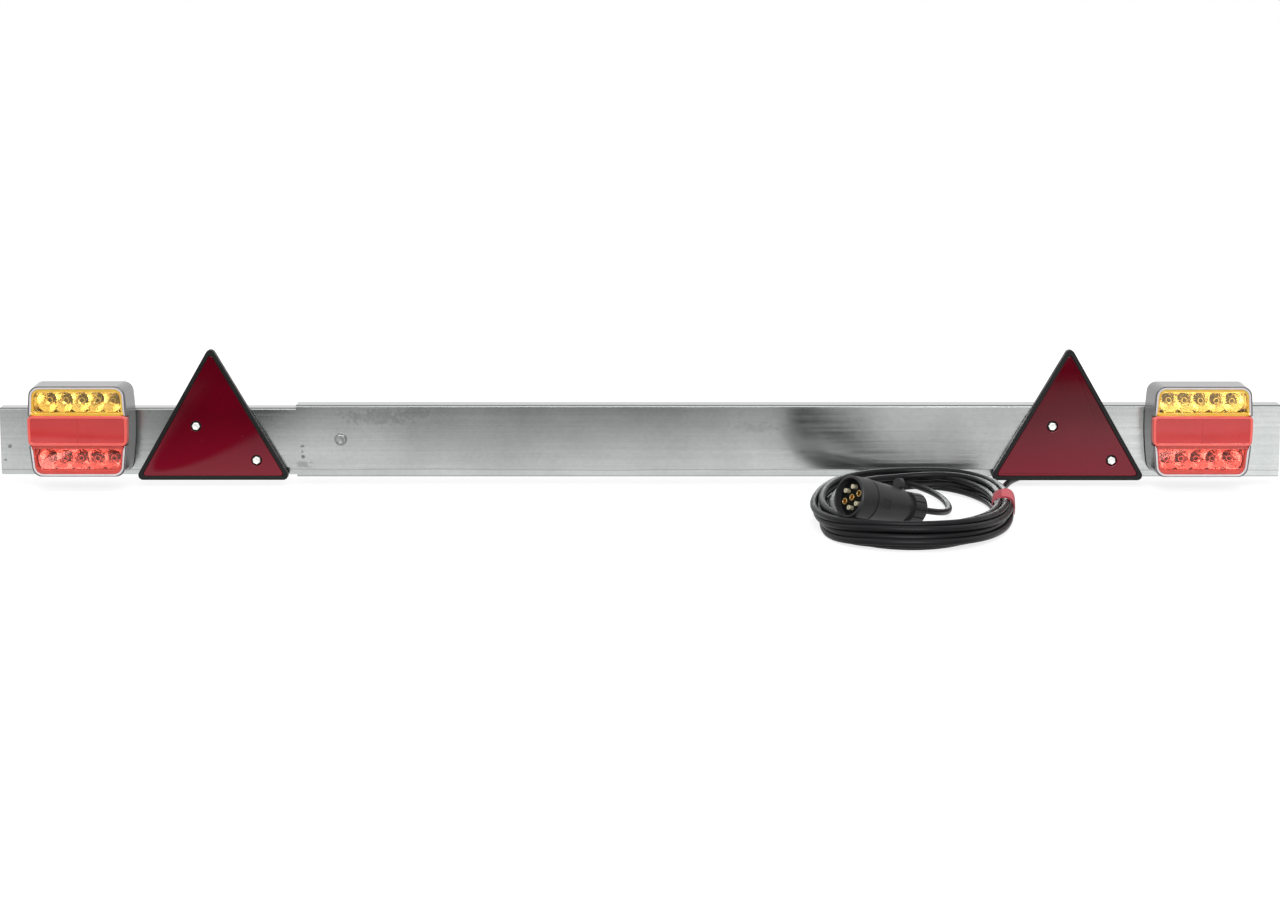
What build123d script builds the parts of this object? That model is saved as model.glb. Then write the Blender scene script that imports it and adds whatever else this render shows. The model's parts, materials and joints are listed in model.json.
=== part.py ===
from build123d import *
import os
from math import cos, radians, sin, sqrt, tan

# Extending lighting board for the back of a trailer, in millimetres.
# X runs along the bar, the lamps face -Y, Z is up.
# The origin is the middle of the closed board's box, its cable left aside.

# Outer and inner sheet channels, open at the back between two return lips
outer_length = 1020.5
outer_height = 75.3
outer_depth = 25.0
sheet = 1.5
bend_radius = 2.0
lip_height = 11.0
toe_height = 8.0
toe_setback = 1.2
slide_gap = 0.4
top_play = 1.2
inner_length = 930.0
inner_exposed = 307.5
engagement = 122.5

# Clamp bolt that locks the inner channel
clamp_inset = 46.0
clamp_height = 39.7
clamp_bolt_d = 6.0
clamp_head_af = 10.0
clamp_head_h = 4.0
clamp_nut_h = 5.0
clamp_washer_d = 13.0
clamp_washer_t = 1.2
clamp_grip_gap = 0.25

# Lamps: a flared housing with a lens in three fields
lamp_inset = 88.5
lamp_lift = 7.0
lamp_width = 101.5
lamp_height = 93.5
housing_depth = 40.0
lamp_flare = 2.3
top_narrowing = 2.5
bottom_narrowing = 4.5
lamp_corner = 10.0
housing_wall = 2.2
housing_back = 2.2
front_rounding = 1.2
gasket_t = 2.0
gasket_proud = 0.4
band_bottom = 32.2
band_top = 63.0
band_proud = 1.5
band_wrap = 10.0
band_side_step = 0.1
band_corner = 3.0
band_wall = 2.4
band_frame = 4.0
band_recess = 0.6
lens_gap = 0.15
lens_t = 9.0
lens_frame = 2.4
lens_recess = 6.0
red_window_bottom = 7.2
lens_window = 1.6
lens_back_rim = 1.8
reflector_depth = 18.0
cup_count = 5
cup_pitch = 16.4
cup_mouth_r = 9.4
cup_throat_r = 3.2
led_board_t = 1.6
led_board_margin = 1.0
led_r = 2.4
led_h = 5.0
led_chamfer = 1.2
post_r = 3.5
post_spacing_x = 66.0
post_spacing_z = 52.0
divider_t = 2.0
lamp_bolt_spacing = 60.0
lamp_bolt_height = 30.0
inlet_height = 31.0

# Triangular reflectors: a black frame with a red lens let into it
triangle_side = 162.7
triangle_corner = 5.0
triangle_inner_corner = 2.5
triangle_drop = 2.0
triangle_inset = 221.2
frame_depth = 8.5
frame_rim = 4.2
frame_back = 2.0
standoff_h = 1.5
standoff_r = 8.0
boss_r = 5.35
boss_recess = 2.0
triangle_lens_recess = 0.5
triangle_lens_gap = 0.2
near_bolt = 41.5
far_bolt = 113.0

# Small bolts, washers and nuts of the lamps and triangles
bolt_d = 5.0
head_af = 8.0
head_h = 3.5
nut_h = 4.0
washer_d = 10.0
washer_t = 1.0
thread_past_nut = 3.0
hole_clearance = 0.5

# Cable, its rubber inlets in the web, and the surface it lies on
cable_d = 6.5
cable_exit = 16.0
arc_share = 0.45
floor_gap = 0.5
grommet_flange_d = 19.0
grommet_flange_t = 2.0
grommet_neck_d = 14.0
grommet_tip_d = 9.5
grommet_length = 18.0
grommet_fit = 0.1

# Cable coil: an oval ring of turns, tied at its right-hand side and spread elsewhere
coil_width = 198.0
coil_length = 362.0
coil_bundle = 25.0
coil_left_spread = 40.0
coil_front_spread = 45.0
coil_back_spread = 28.0
coil_height = 22.0
coil_rounding = 9.0
coil_saddle_gap = 0.4
coil_turn = 8.0
coil_middle_x = 266.5
coil_middle_front = 182.5
tie_t = 0.8
tie_length = 18.0
tie_fit = 0.3

# Seven-pin plug, measured from its open face backwards
plug_barrel_d = 40.4
plug_barrel_l = 19.0
plug_bore_d = 35.2
plug_bore_l = 20.0
plug_groove_l = 2.5
plug_groove_deep = 1.4
plug_body_d = 39.0
plug_body_end_d = 33.0
plug_body_l = 44.5
plug_neck_d = 24.0
plug_neck_l = 8.5
plug_nut_d = 30.0
plug_nut_l = 16.3
plug_nut_ribs = 12
plug_rib_groove = 1.2
plug_edge = 1.0
insert_face = 7.0
insert_fit = 0.15
contact_circle_r = 10.0
pin_r = 2.3
pin_slit = 0.8
pin_stand = 4.5
sleeve_r = 3.1
sleeve_bore_r = 2.3
sleeve_stand = 3.0
contact_fit = 0.05
contact_root = 12.0
lug_r = 5.5
lug_l = 5.0
lug_stand = 4.0
lug_from_end = 3.5
lug_foot = 6.0
recess_wide = 11.0
recess_high = 9.0
recess_deep = 1.0
plug_nose_x = 194.9
plug_nose_front = 298.9
plug_nose_above_floor = 42.5
plug_heading = 37.0
plug_dip = 14.0

# Values that follow from the sizes above
closed_length = outer_length + inner_exposed
right_end = closed_length / 2
left_end = -closed_length / 2
outer_left = right_end - outer_length
triangle_height = triangle_side * sqrt(3) / 2 - triangle_corner
lamp_depth = gasket_t + housing_depth + band_proud
web_y = (lamp_depth - outer_depth) / 2
board_bottom = -triangle_height / 2
bar_bottom = board_bottom + triangle_drop
inner_inset = sheet + slide_gap
inner_web_y = web_y + inner_inset
inner_height = outer_height - 2 * inner_inset - top_play
inner_depth = outer_depth - 2 * inner_inset
travel = inner_length - inner_exposed - engagement
floor_z = board_bottom - cable_d - floor_gap
clamp_x = outer_left + clamp_inset
clamp_z = bar_bottom + clamp_height
lamp_x = right_end - lamp_inset
lamp_bottom = bar_bottom + lamp_lift
triangle_x = right_end - triangle_inset
housing_front = gasket_t + housing_depth
bolt_hole_r = (bolt_d + hole_clearance) / 2
plug_neck_at = plug_barrel_l + plug_groove_l + plug_body_l
plug_nut_at = plug_neck_at + plug_neck_l
plug_length = plug_nut_at + plug_nut_l

nodes = {}


def disc(radius, low, high, x=0.0, y=0.0):
    """A cylinder along local Z between two heights."""
    return extrude(Pos(x, y, low) * Circle(radius), high - low)


def hex_prism(across_flats, low, high, x=0.0, y=0.0):
    """A hexagonal head or nut along local Z between two heights."""
    section = RegularPolygon(across_flats / 2, 6, major_radius=False)
    return extrude(Pos(x, y, low) * section, high - low)


def group(solids):
    """Several separate solids as one part."""
    return Part() + list(solids)


def front_seat(x, y, z):
    """A frame whose local Z looks out of the web towards the front."""
    return Plane(origin=(x, y, z), x_dir=(1, 0, 0), z_dir=(0, -1, 0)).location


def keep(name, part):
    nodes[name] = part


# Bar


def channel_outline(front_y, bottom_z, height, depth):
    """Outside of a channel's section, with the slanted toe under its web."""
    corners = [
        (front_y, bottom_z + height),
        (front_y, bottom_z + toe_height),
        (front_y + toe_setback, bottom_z),
        (front_y + depth, bottom_z),
        (front_y + depth, bottom_z + height),
    ]
    outline = make_face(Polyline(*corners, close=True))
    bends = [v for v in outline.vertices() if abs(v.Y - bottom_z - toe_height) > toe_setback]
    return fillet(bends, bend_radius)


def channel(front_y, bottom_z, height, depth, start_x, length):
    """A folded channel with its back open between two lips."""
    outline = channel_outline(front_y, bottom_z, height, depth)
    section = outline - offset(outline, -sheet)
    opening_height = height - 2 * lip_height
    opening = Pos(front_y + depth, bottom_z + height / 2) * Rectangle(4 * sheet, opening_height)
    return extrude(Plane.YZ.offset(start_x) * (section - opening), length)


def web_holes(x, seat_y, bottom_z, spots):
    """Drills through a web: each spot is (x, z, radius) from the given corner."""
    drills = [disc(radius, -2 * sheet, sheet, across, up) for across, up, radius in spots]
    return front_seat(x, seat_y, bottom_z) * group(drills)


def lamp_spots():
    """Holes that a lamp needs: two bolts and its cable inlet."""
    half = lamp_bolt_spacing / 2
    return [
        (-half, lamp_bolt_height, bolt_hole_r),
        (half, lamp_bolt_height, bolt_hole_r),
        (0.0, inlet_height, grommet_neck_d / 2),
    ]


def triangle_bolt_spots():
    """Both bolts lie on the bisector of the triangle's lower right corner."""
    corner_x = triangle_side / 2
    return [
        (corner_x - reach * cos(radians(30)), reach * sin(radians(30)))
        for reach in (near_bolt, far_bolt)
    ]


def triangle_spots():
    return [(x, z, bolt_hole_r) for x, z in triangle_bolt_spots()]


clamp_hole_r = (clamp_bolt_d + hole_clearance) / 2
outer_channel = channel(web_y, bar_bottom, outer_height, outer_depth, outer_left, outer_length)
outer_channel -= web_holes(lamp_x, web_y, lamp_bottom, lamp_spots())
outer_channel -= web_holes(triangle_x, web_y, board_bottom, triangle_spots())
outer_channel -= web_holes(clamp_x, web_y, clamp_z, [(0.0, 0.0, clamp_hole_r)])
keep("outer_channel", outer_channel)

inner_bottom = bar_bottom + inner_inset
inner_channel = channel(inner_web_y, inner_bottom, inner_height, inner_depth, left_end, inner_length)
inner_channel -= web_holes(-lamp_x, inner_web_y, lamp_bottom, lamp_spots())
inner_channel -= web_holes(-triangle_x, inner_web_y, board_bottom, triangle_spots())
clamp_slot = Pos(travel / 2, 0, -2 * sheet) * SlotCenterToCenter(travel, 2 * clamp_hole_r)
inner_channel -= front_seat(clamp_x, inner_web_y, clamp_z) * extrude(clamp_slot, 3 * sheet)
keep("inner_channel", inner_channel)

# Clamp bolt through the outer web and the slot, nut inside the inner channel
clamp_seat = front_seat(clamp_x, web_y, clamp_z)
clamp_back = -(inner_inset + sheet + clamp_grip_gap)
clamp_nut_top = clamp_back - clamp_washer_t
clamp_bolt_end = clamp_nut_top - clamp_nut_h - thread_past_nut
clamp_head_top = clamp_washer_t + clamp_head_h
clamp_bolt = hex_prism(clamp_head_af, clamp_washer_t, clamp_head_top)
clamp_bolt += disc(clamp_bolt_d / 2, clamp_bolt_end, clamp_washer_t)
keep("clamp_bolt", clamp_seat * clamp_bolt)
front_washer = disc(clamp_washer_d / 2, 0, clamp_washer_t) - disc(clamp_hole_r, 0, clamp_washer_t)
back_washer = Pos(0, 0, clamp_nut_top) * front_washer
keep("clamp_washers", clamp_seat * group([front_washer, back_washer]))
clamp_nut = hex_prism(clamp_head_af, clamp_nut_top - clamp_nut_h, clamp_nut_top)
clamp_nut -= disc(clamp_bolt_d / 2, clamp_bolt_end, clamp_nut_top)
keep("clamp_nut", clamp_seat * clamp_nut)


# Lamps


def lamp_outline(spread):
    """Front view of the lamp, wider by the spread at each side, with bowed flanks."""
    middle = lamp_width / 2 + spread
    top = middle - top_narrowing
    bottom = middle - bottom_narrowing
    half = lamp_height / 2
    edges = Line((-bottom, 0), (bottom, 0))
    edges += ThreePointArc((bottom, 0), (middle, half), (top, lamp_height))
    edges += Line((top, lamp_height), (-top, lamp_height))
    edges += ThreePointArc((-top, lamp_height), (-middle, half), (-bottom, 0))
    outline = make_face(edges)
    return fillet(outline.vertices(), lamp_corner)


def field(outline, low, high):
    """The part of an outline between two heights."""
    return outline & (Pos(0, (low + high) / 2) * Rectangle(2 * lamp_width, high - low))


def cup_places(height):
    """Centres of a row of reflector cups at one height."""
    first = -cup_pitch * (cup_count - 1) / 2
    return [(first + cup_pitch * step, height) for step in range(cup_count)]


base_outline = lamp_outline(lamp_flare)
front_outline = lamp_outline(0.0)
opening_outline = offset(front_outline, -housing_wall)
lens_outline = offset(front_outline, -(housing_wall + lens_gap))
band_outline = field(offset(front_outline, band_side_step), band_bottom, band_top)
band_outline = fillet(band_outline.vertices(), band_corner)
amber_outline = field(lens_outline, band_top + lens_gap, lamp_height)
red_outline = field(lens_outline, 0, band_bottom - lens_gap)
lens_back = housing_front - lens_t
reflector_back = lens_back - reflector_depth
led_board_back = reflector_back - led_board_t
housing_inside = gasket_t + housing_back
band_back = housing_front - band_wrap
amber_row = (band_top + lamp_height) / 2 - lens_gap
red_row = band_bottom / 2 + lens_gap


def lamp_housing():
    """Flared moulded shell with a notch for the reflex band, posts and dividers."""
    sections = [Pos(0, 0, gasket_t) * base_outline, Pos(0, 0, housing_front) * front_outline]
    block = loft(sections, ruled=True)
    rim = block.faces().sort_by(Axis.Z)[-1].edges()
    shell = fillet(rim, front_rounding)
    inside_base = offset(base_outline, -housing_wall)
    hollow = loft(
        [Pos(0, 0, housing_inside) * inside_base, Pos(0, 0, housing_front) * opening_outline],
        ruled=True,
    )
    shell -= hollow
    notch = field(offset(front_outline, 2 * lamp_flare), band_bottom - lens_gap, band_top + lens_gap)
    shell -= extrude(Pos(0, 0, band_back - lens_gap) * notch, band_wrap + 2 * lens_gap)
    for side in (-1, 1):
        for level in (-1, 1):
            x = side * post_spacing_x / 2
            y = lamp_height / 2 + level * post_spacing_z / 2
            shell += disc(post_r, housing_inside, led_board_back, x, y)
    for low in (band_bottom + lens_gap, band_top - lens_gap - divider_t):
        wall = Pos(0, low + divider_t / 2, reflector_back) * Rectangle(2 * lamp_width, divider_t)
        shell += extrude(wall, band_back - lens_gap - reflector_back) & block
    for x, y, radius in lamp_spots()[:2]:
        shell -= disc(bolt_hole_r, 0, housing_inside, x, y)
    shell -= disc((cable_d + grommet_fit) / 2, 0, housing_inside, 0, inlet_height)
    return shell


def lamp_gasket():
    """Foam pad between the housing and the web, no taller than the web."""
    web_top = outer_height - inner_inset - top_play - lamp_lift
    pad = field(offset(base_outline, gasket_proud), -gasket_proud, web_top - bend_radius)
    pad = extrude(pad, gasket_t)
    for x, y, radius in lamp_spots():
        pad -= disc(radius, 0, gasket_t, x, y)
    pad -= disc(grommet_flange_d / 2, 0, gasket_t, 0, inlet_height)
    return pad


def lamp_lens(outline, window_bottom=0.0):
    """A framed lens: window let in from the front, hollow behind."""
    lens = extrude(Pos(0, 0, lens_back) * outline, lens_t)
    window = field(offset(outline, -lens_frame), window_bottom, lamp_height)
    lens -= extrude(Pos(0, 0, housing_front - lens_recess) * window, lens_recess)
    behind = offset(outline, -lens_back_rim)
    lens -= extrude(Pos(0, 0, lens_back) * behind, lens_t - lens_recess - lens_window)
    return lens


def reflex_band():
    """Reflex reflector across the lamp, returned round both flanks, in two fields."""
    band = extrude(Pos(0, 0, band_back) * band_outline, band_wrap + band_proud)
    behind = offset(band_outline, -band_wall)
    band -= extrude(Pos(0, 0, band_back) * behind, band_wrap + band_proud - band_wall)
    middle_height = (band_bottom + band_top) / 2
    field_wide = lamp_width / 2 - 1.5 * band_frame
    field_high = band_top - band_bottom - band_frame
    for side in (-1, 1):
        x = side * (field_wide + band_frame / 2) / 2
        spot = Pos(x, middle_height, housing_front + band_proud - band_recess)
        band -= extrude(spot * Rectangle(field_wide, field_high), band_recess)
    return band


def cup_tray(outline, row):
    """Reflector moulding with a row of conical cups open at both ends."""
    tray = extrude(Pos(0, 0, reflector_back) * offset(outline, -lens_gap), reflector_depth)
    for x, y in cup_places(row):
        cup = Cone(cup_throat_r, cup_mouth_r, reflector_depth)
        tray -= Pos(x, y, reflector_back + reflector_depth / 2) * cup
    return tray


def led_board():
    board = offset(front_outline, -(housing_wall + led_board_margin))
    return extrude(Pos(0, 0, led_board_back) * board, led_board_t)


def led_row(row):
    """One round light-emitting diode standing in each cup."""
    leds = []
    for x, y in cup_places(row):
        led = disc(led_r, reflector_back, reflector_back + led_h, x, y)
        leds.append(chamfer(led.faces().sort_by(Axis.Z)[-1].edges(), led_chamfer))
    return group(leds)


def lamp_bolts():
    """Bolts put in from inside the housing, threads out behind the web."""
    tip = -sheet - washer_t - nut_h - thread_past_nut
    bolts = []
    for x, y, radius in lamp_spots()[:2]:
        bolt = hex_prism(head_af, housing_inside, housing_inside + head_h, x, y)
        bolts.append(bolt + disc(bolt_d / 2, tip, housing_inside, x, y))
    return group(bolts)


def lamp_grommet():
    """Rubber inlet: a flange in the gasket, a neck through the web, a tapered sleeve."""
    inner = (cable_d + grommet_fit) / 2
    neck = grommet_neck_d / 2 - grommet_fit
    flange = grommet_flange_d / 2 - grommet_fit
    tip = grommet_tip_d / 2
    profile = [
        (inner, gasket_t - grommet_fit),
        (flange, gasket_t - grommet_fit),
        (flange, grommet_fit),
        (neck, grommet_fit),
        (neck, -sheet - grommet_fit),
        (flange, -sheet - grommet_fit),
        (flange, -sheet - grommet_flange_t),
        (neck, -sheet - 2 * grommet_flange_t),
        (tip, -sheet - grommet_length),
        (inner, -sheet - grommet_length),
    ]
    section = Plane.XZ * make_face(Polyline(*profile, close=True))
    return Pos(0, inlet_height, 0) * revolve(section, Axis.Z)


def web_fasteners(spots):
    """Washers and nuts behind the web, one pair at each spot."""
    washers = []
    nuts = []
    washer_back = -sheet - washer_t
    for x, y in spots:
        ring = disc(washer_d / 2, washer_back, -sheet, x, y)
        washers.append(ring - disc(bolt_hole_r, washer_back, -sheet, x, y))
        nut = hex_prism(head_af, washer_back - nut_h, washer_back, x, y)
        nuts.append(nut - disc(bolt_d / 2, washer_back - nut_h, washer_back, x, y))
    return washers, nuts


# Triangular reflectors


def triangle_outline(margin):
    """Equilateral triangle on its base, corners rounded, drawn in by a margin."""
    side = triangle_side - 2 * sqrt(3) * margin
    height = side * sqrt(3) / 2
    corners = [(-side / 2, margin), (side / 2, margin), (0, margin + height)]
    outline = make_face(Polyline(*corners, close=True))
    return fillet(outline.vertices(), triangle_inner_corner if margin else triangle_corner)


def triangle_frame():
    """Black moulding: rim, back plate, stand-offs and sleeves round the bolts."""
    back = standoff_h
    front = standoff_h + frame_depth
    body = extrude(Pos(0, 0, back) * triangle_outline(0.0), frame_depth)
    body -= extrude(Pos(0, 0, back + frame_back) * triangle_outline(frame_rim), frame_depth)
    for x, y in triangle_bolt_spots():
        body += disc(standoff_r, 0, back, x, y)
        body += disc(boss_r, back, front - triangle_lens_recess - boss_recess, x, y)
    for x, y in triangle_bolt_spots():
        body -= disc(bolt_hole_r, 0, front, x, y)
    return body


def triangle_lens():
    low = standoff_h + frame_back
    high = standoff_h + frame_depth - triangle_lens_recess
    lens = extrude(Pos(0, 0, low) * triangle_outline(frame_rim + triangle_lens_gap), high - low)
    for x, y in triangle_bolt_spots():
        lens -= disc(boss_r + triangle_lens_gap, low, high, x, y)
    return lens


def triangle_bolts():
    seat = standoff_h + frame_depth - triangle_lens_recess - boss_recess
    tip = -sheet - washer_t - nut_h - thread_past_nut
    bolts = []
    for x, y in triangle_bolt_spots():
        bolt = hex_prism(head_af, seat, seat + head_h, x, y)
        bolts.append(bolt + disc(bolt_d / 2, tip, seat, x, y))
    return group(bolts)


for side, sign, seat_y in (("left", -1, inner_web_y), ("right", 1, web_y)):
    lamp_at = front_seat(sign * lamp_x, seat_y, lamp_bottom)
    keep(f"{side}_lamp_housing", lamp_at * lamp_housing())
    keep(f"{side}_lamp_gasket", lamp_at * lamp_gasket())
    keep(f"{side}_amber_lens", lamp_at * lamp_lens(amber_outline))
    keep(f"{side}_reflex_band", lamp_at * reflex_band())
    keep(f"{side}_red_lens", lamp_at * lamp_lens(red_outline, red_window_bottom))
    keep(f"{side}_amber_reflector", lamp_at * cup_tray(amber_outline, amber_row))
    keep(f"{side}_red_reflector", lamp_at * cup_tray(red_outline, red_row))
    keep(f"{side}_led_board", lamp_at * led_board())
    keep(f"{side}_amber_leds", lamp_at * led_row(amber_row))
    keep(f"{side}_red_leds", lamp_at * led_row(red_row))
    keep(f"{side}_lamp_bolts", lamp_at * lamp_bolts())
    keep(f"{side}_lamp_grommet", lamp_at * lamp_grommet())
    triangle_at = front_seat(sign * triangle_x, seat_y, board_bottom)
    keep(f"{side}_triangle_frame", triangle_at * triangle_frame())
    keep(f"{side}_triangle_lens", triangle_at * triangle_lens())
    keep(f"{side}_triangle_bolts", triangle_at * triangle_bolts())
    lamp_washers, lamp_nuts = web_fasteners([spot[:2] for spot in lamp_spots()[:2]])
    triangle_washers, triangle_nuts = web_fasteners(triangle_bolt_spots())
    washers = [lamp_at * ring for ring in lamp_washers]
    washers += [triangle_at * ring for ring in triangle_washers]
    nuts = [lamp_at * nut for nut in lamp_nuts]
    nuts += [triangle_at * nut for nut in triangle_nuts]
    keep(f"{side}_web_washers", group(washers))
    keep(f"{side}_web_nuts", group(nuts))


# Plug, built along local Z from its open face to the end of its gland nut


def plug_shell():
    """Barrel, groove, tapering body and neck, with a lug and a side recess."""
    barrel = plug_barrel_d / 2
    bore = plug_bore_d / 2
    groove = barrel - plug_groove_deep
    body = plug_body_d / 2
    body_end = plug_body_end_d / 2
    body_at = plug_barrel_l + plug_groove_l
    profile = [
        (bore, 0),
        (barrel - plug_edge, 0),
        (barrel, plug_edge),
        (barrel, plug_barrel_l),
        (groove, plug_barrel_l),
        (groove, body_at),
        (body, body_at),
        (body_end, plug_neck_at - plug_edge),
        (body_end - plug_edge, plug_neck_at),
        (plug_neck_d / 2, plug_neck_at),
        (plug_neck_d / 2, plug_nut_at),
        (0, plug_nut_at),
        (0, plug_bore_l),
        (bore, plug_bore_l),
    ]
    shell = revolve(Plane.XZ * make_face(Polyline(*profile, close=True)), Axis.Z)
    lug_at = plug_neck_at - lug_from_end
    lug_middle = body_end + lug_stand
    foot = Pos(0, lug_middle / 2, lug_at - lug_l) * Rectangle(lug_foot, lug_middle)
    shell += extrude(foot, lug_l)
    shell += disc(lug_r, lug_at - lug_l, lug_at, 0, lug_middle)
    recess_at = body_at + recess_wide
    recess = Box(2 * recess_deep, recess_high, recess_wide)
    body_there = body - (body - body_end) * recess_wide / plug_body_l
    return shell - Pos(-body_there, 0, recess_at) * recess


def contact_places():
    """Pins and sleeves in turn round the face, with one sleeve in the middle."""
    pins = []
    sleeves = [(0.0, 0.0)]
    for step in range(6):
        angle = radians(90 + 60 * step)
        spot = (contact_circle_r * cos(angle), contact_circle_r * sin(angle))
        (sleeves if step % 3 == 1 else pins).append(spot)
    return pins, sleeves


def plug_insert():
    """Contact carrier, drilled for its pins and sleeves."""
    carrier = disc(plug_bore_d / 2 - insert_fit, insert_face, plug_bore_l)
    pins, sleeves = contact_places()
    for x, y in pins:
        carrier -= disc(pin_r + contact_fit, insert_face, insert_face + contact_root, x, y)
    for x, y in sleeves:
        carrier -= disc(sleeve_r + contact_fit, insert_face, insert_face + contact_root, x, y)
    return carrier


def plug_pins():
    """Split brass pins standing out of the carrier."""
    pins = []
    for x, y in contact_places()[0]:
        pin = disc(pin_r, insert_face - pin_stand, insert_face + contact_root, x, y)
        slit = Pos(x, y, insert_face - pin_stand) * Box(pin_slit, 3 * pin_r, 2 * pin_stand)
        pins.append(pin - slit)
    return group(pins)


def plug_sleeves():
    """Brass sleeve contacts, bored from the face."""
    sleeves = []
    for x, y in contact_places()[1]:
        sleeve = disc(sleeve_r, insert_face - sleeve_stand, insert_face + contact_root, x, y)
        sleeves.append(sleeve - disc(sleeve_bore_r, 0, insert_face + contact_root / 2, x, y))
    return group(sleeves)


def plug_gland_nut():
    """Round gland nut with finger grooves."""
    nut = disc(plug_nut_d / 2, plug_nut_at, plug_length)
    nut = chamfer(nut.faces().sort_by(Axis.Z)[-1].edges(), 2 * plug_edge)
    for step in range(plug_nut_ribs):
        groove = Pos(plug_nut_d / 2, 0, plug_nut_at + plug_nut_l / 2)
        cutter = Box(2 * plug_rib_groove, plug_rib_groove, plug_nut_l)
        nut -= Rot(0, 0, 360 / plug_nut_ribs * step) * groove * cutter
    return nut


plug_back = Vector(cos(radians(plug_heading)), sin(radians(plug_heading)), -tan(radians(plug_dip)))
plug_nose = (plug_nose_x, web_y - plug_nose_front, floor_z + plug_nose_above_floor)
plug_side = (-sin(radians(plug_heading)), cos(radians(plug_heading)), 0)
plug_at = Plane(origin=plug_nose, x_dir=plug_side, z_dir=plug_back).location
keep("plug_shell", plug_at * plug_shell())
keep("plug_insert", plug_at * plug_insert())
keep("plug_pins", plug_at * plug_pins())
keep("plug_sleeves", plug_at * plug_sleeves())
keep("plug_gland_nut", plug_at * plug_gland_nut())

# Cable: two free stretches and the tied coil between them


def route(points):
    """Points given as along the bar, in front of the web and above the floor."""
    return [Vector(x, web_y - ahead, floor_z + up) for x, ahead, up in points]


def bend_radii(points):
    """Largest arcs that the runs beside each corner leave room for."""
    radii = []
    for before, corner, after in zip(points, points[1:], points[2:]):
        run_in = corner - before
        run_out = after - corner
        half_turn = radians(run_in.get_angle(run_out)) / 2
        radii.append(arc_share * min(run_in.length, run_out.length) / tan(half_turn))
    return radii


def cable(name, points):
    """A round cable along straight runs joined by tangent arcs."""
    radii = bend_radii(points)
    path = FilletPolyline(*points, radius=radii)
    start = Plane(origin=path @ 0, z_dir=path % 0)
    tube = sweep(start * Circle(cable_d / 2), path)
    share = tube.volume / (Circle(cable_d / 2).area * path.length)
    print(name, "length", round(path.length), "volume share", round(share, 4))
    print(name, "radii", [round(radius) for radius in radii])
    return tube


inlet_up = lamp_bottom + inlet_height - floor_z
lead_points = route([
    (lamp_x, 1.0, inlet_up),
    (lamp_x, -31.0, inlet_up),
    (568.0, -62.0, 40.5),
    (549.0, -86.0, 27.0),
    (521.0, -98.0, 12.0),
    (488.0, -99.0, 3.8),
    (456.0, -88.0, 3.3),
    (427.0, -66.0, 3.3),
    (403.0, -38.0, 3.3),
    (386.0, -8.0, 3.3),
    (377.0, 22.0, 3.3),
    (369.0, 51.0, 3.6),
    (363.0, 80.0, 5.0),
])
keep("cable_lead", cable("cable_lead", lead_points))

coil_place = Pos(coil_middle_x, web_y - coil_middle_front, floor_z + tie_t + tie_fit)
coil_outer = SlotOverall(coil_length, coil_width, 90)
coil_hole_width = coil_width - coil_bundle - coil_left_spread
coil_hole_length = coil_length - coil_front_spread - coil_back_spread
coil_hole_x = (coil_left_spread - coil_bundle) / 2
coil_hole_y = (coil_front_spread - coil_back_spread) / 2
coil_hole = Pos(coil_hole_x, coil_hole_y) * SlotOverall(coil_hole_length, coil_hole_width, 90)
coil = extrude(coil_outer - coil_hole, coil_height)
rims = coil.faces().filter_by(Axis.Z).edges()
coil = fillet(rims, coil_rounding)
coil = coil_place * Rot(0, 0, -coil_turn) * coil
saddle = disc(plug_barrel_d / 2 + coil_saddle_gap, -coil_saddle_gap, plug_length)
keep("cable_coil", coil - plug_at * saddle)

# Tie round the bundle at the coil's right-hand side
tie_hole = Rectangle(coil_bundle + 2 * tie_fit, coil_height + 2 * tie_fit)
tie_hole = fillet(tie_hole.vertices(), coil_rounding)
tie_band = offset(tie_hole, tie_t) - tie_hole
tie = extrude(tie_band, tie_length / 2, both=True)
tie_spot = Pos(coil_width / 2 - coil_bundle / 2, 0, coil_height / 2) * Rot(90, 0, 0)
keep("cable_tie", coil_place * Rot(0, 0, -coil_turn) * tie_spot * tie)

plug_tail = plug_at * Pos(0, 0, plug_length)
tail_start = plug_tail.position
tail_first = (plug_tail * Pos(0, 0, cable_exit)).position
tail_points = [tail_start, tail_first] + route([
    (292.0, 214.0, 11.5),
    (299.0, 187.0, 7.5),
    (302.0, 157.0, 5.0),
    (301.0, 127.0, 4.2),
    (296.0, 98.0, 5.0),
    (285.0, 72.0, 6.5),
    (269.0, 50.0, 9.0),
    (248.0, 33.0, 11.0),
])
keep("cable_tail", cable("cable_tail", tail_points))

os.makedirs("parts", exist_ok=True)
for name, part in nodes.items():
    export_step(part, f"parts/{name}.step")
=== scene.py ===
import json
import math

import bmesh
import bpy
from mathutils import Matrix, Vector


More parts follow.
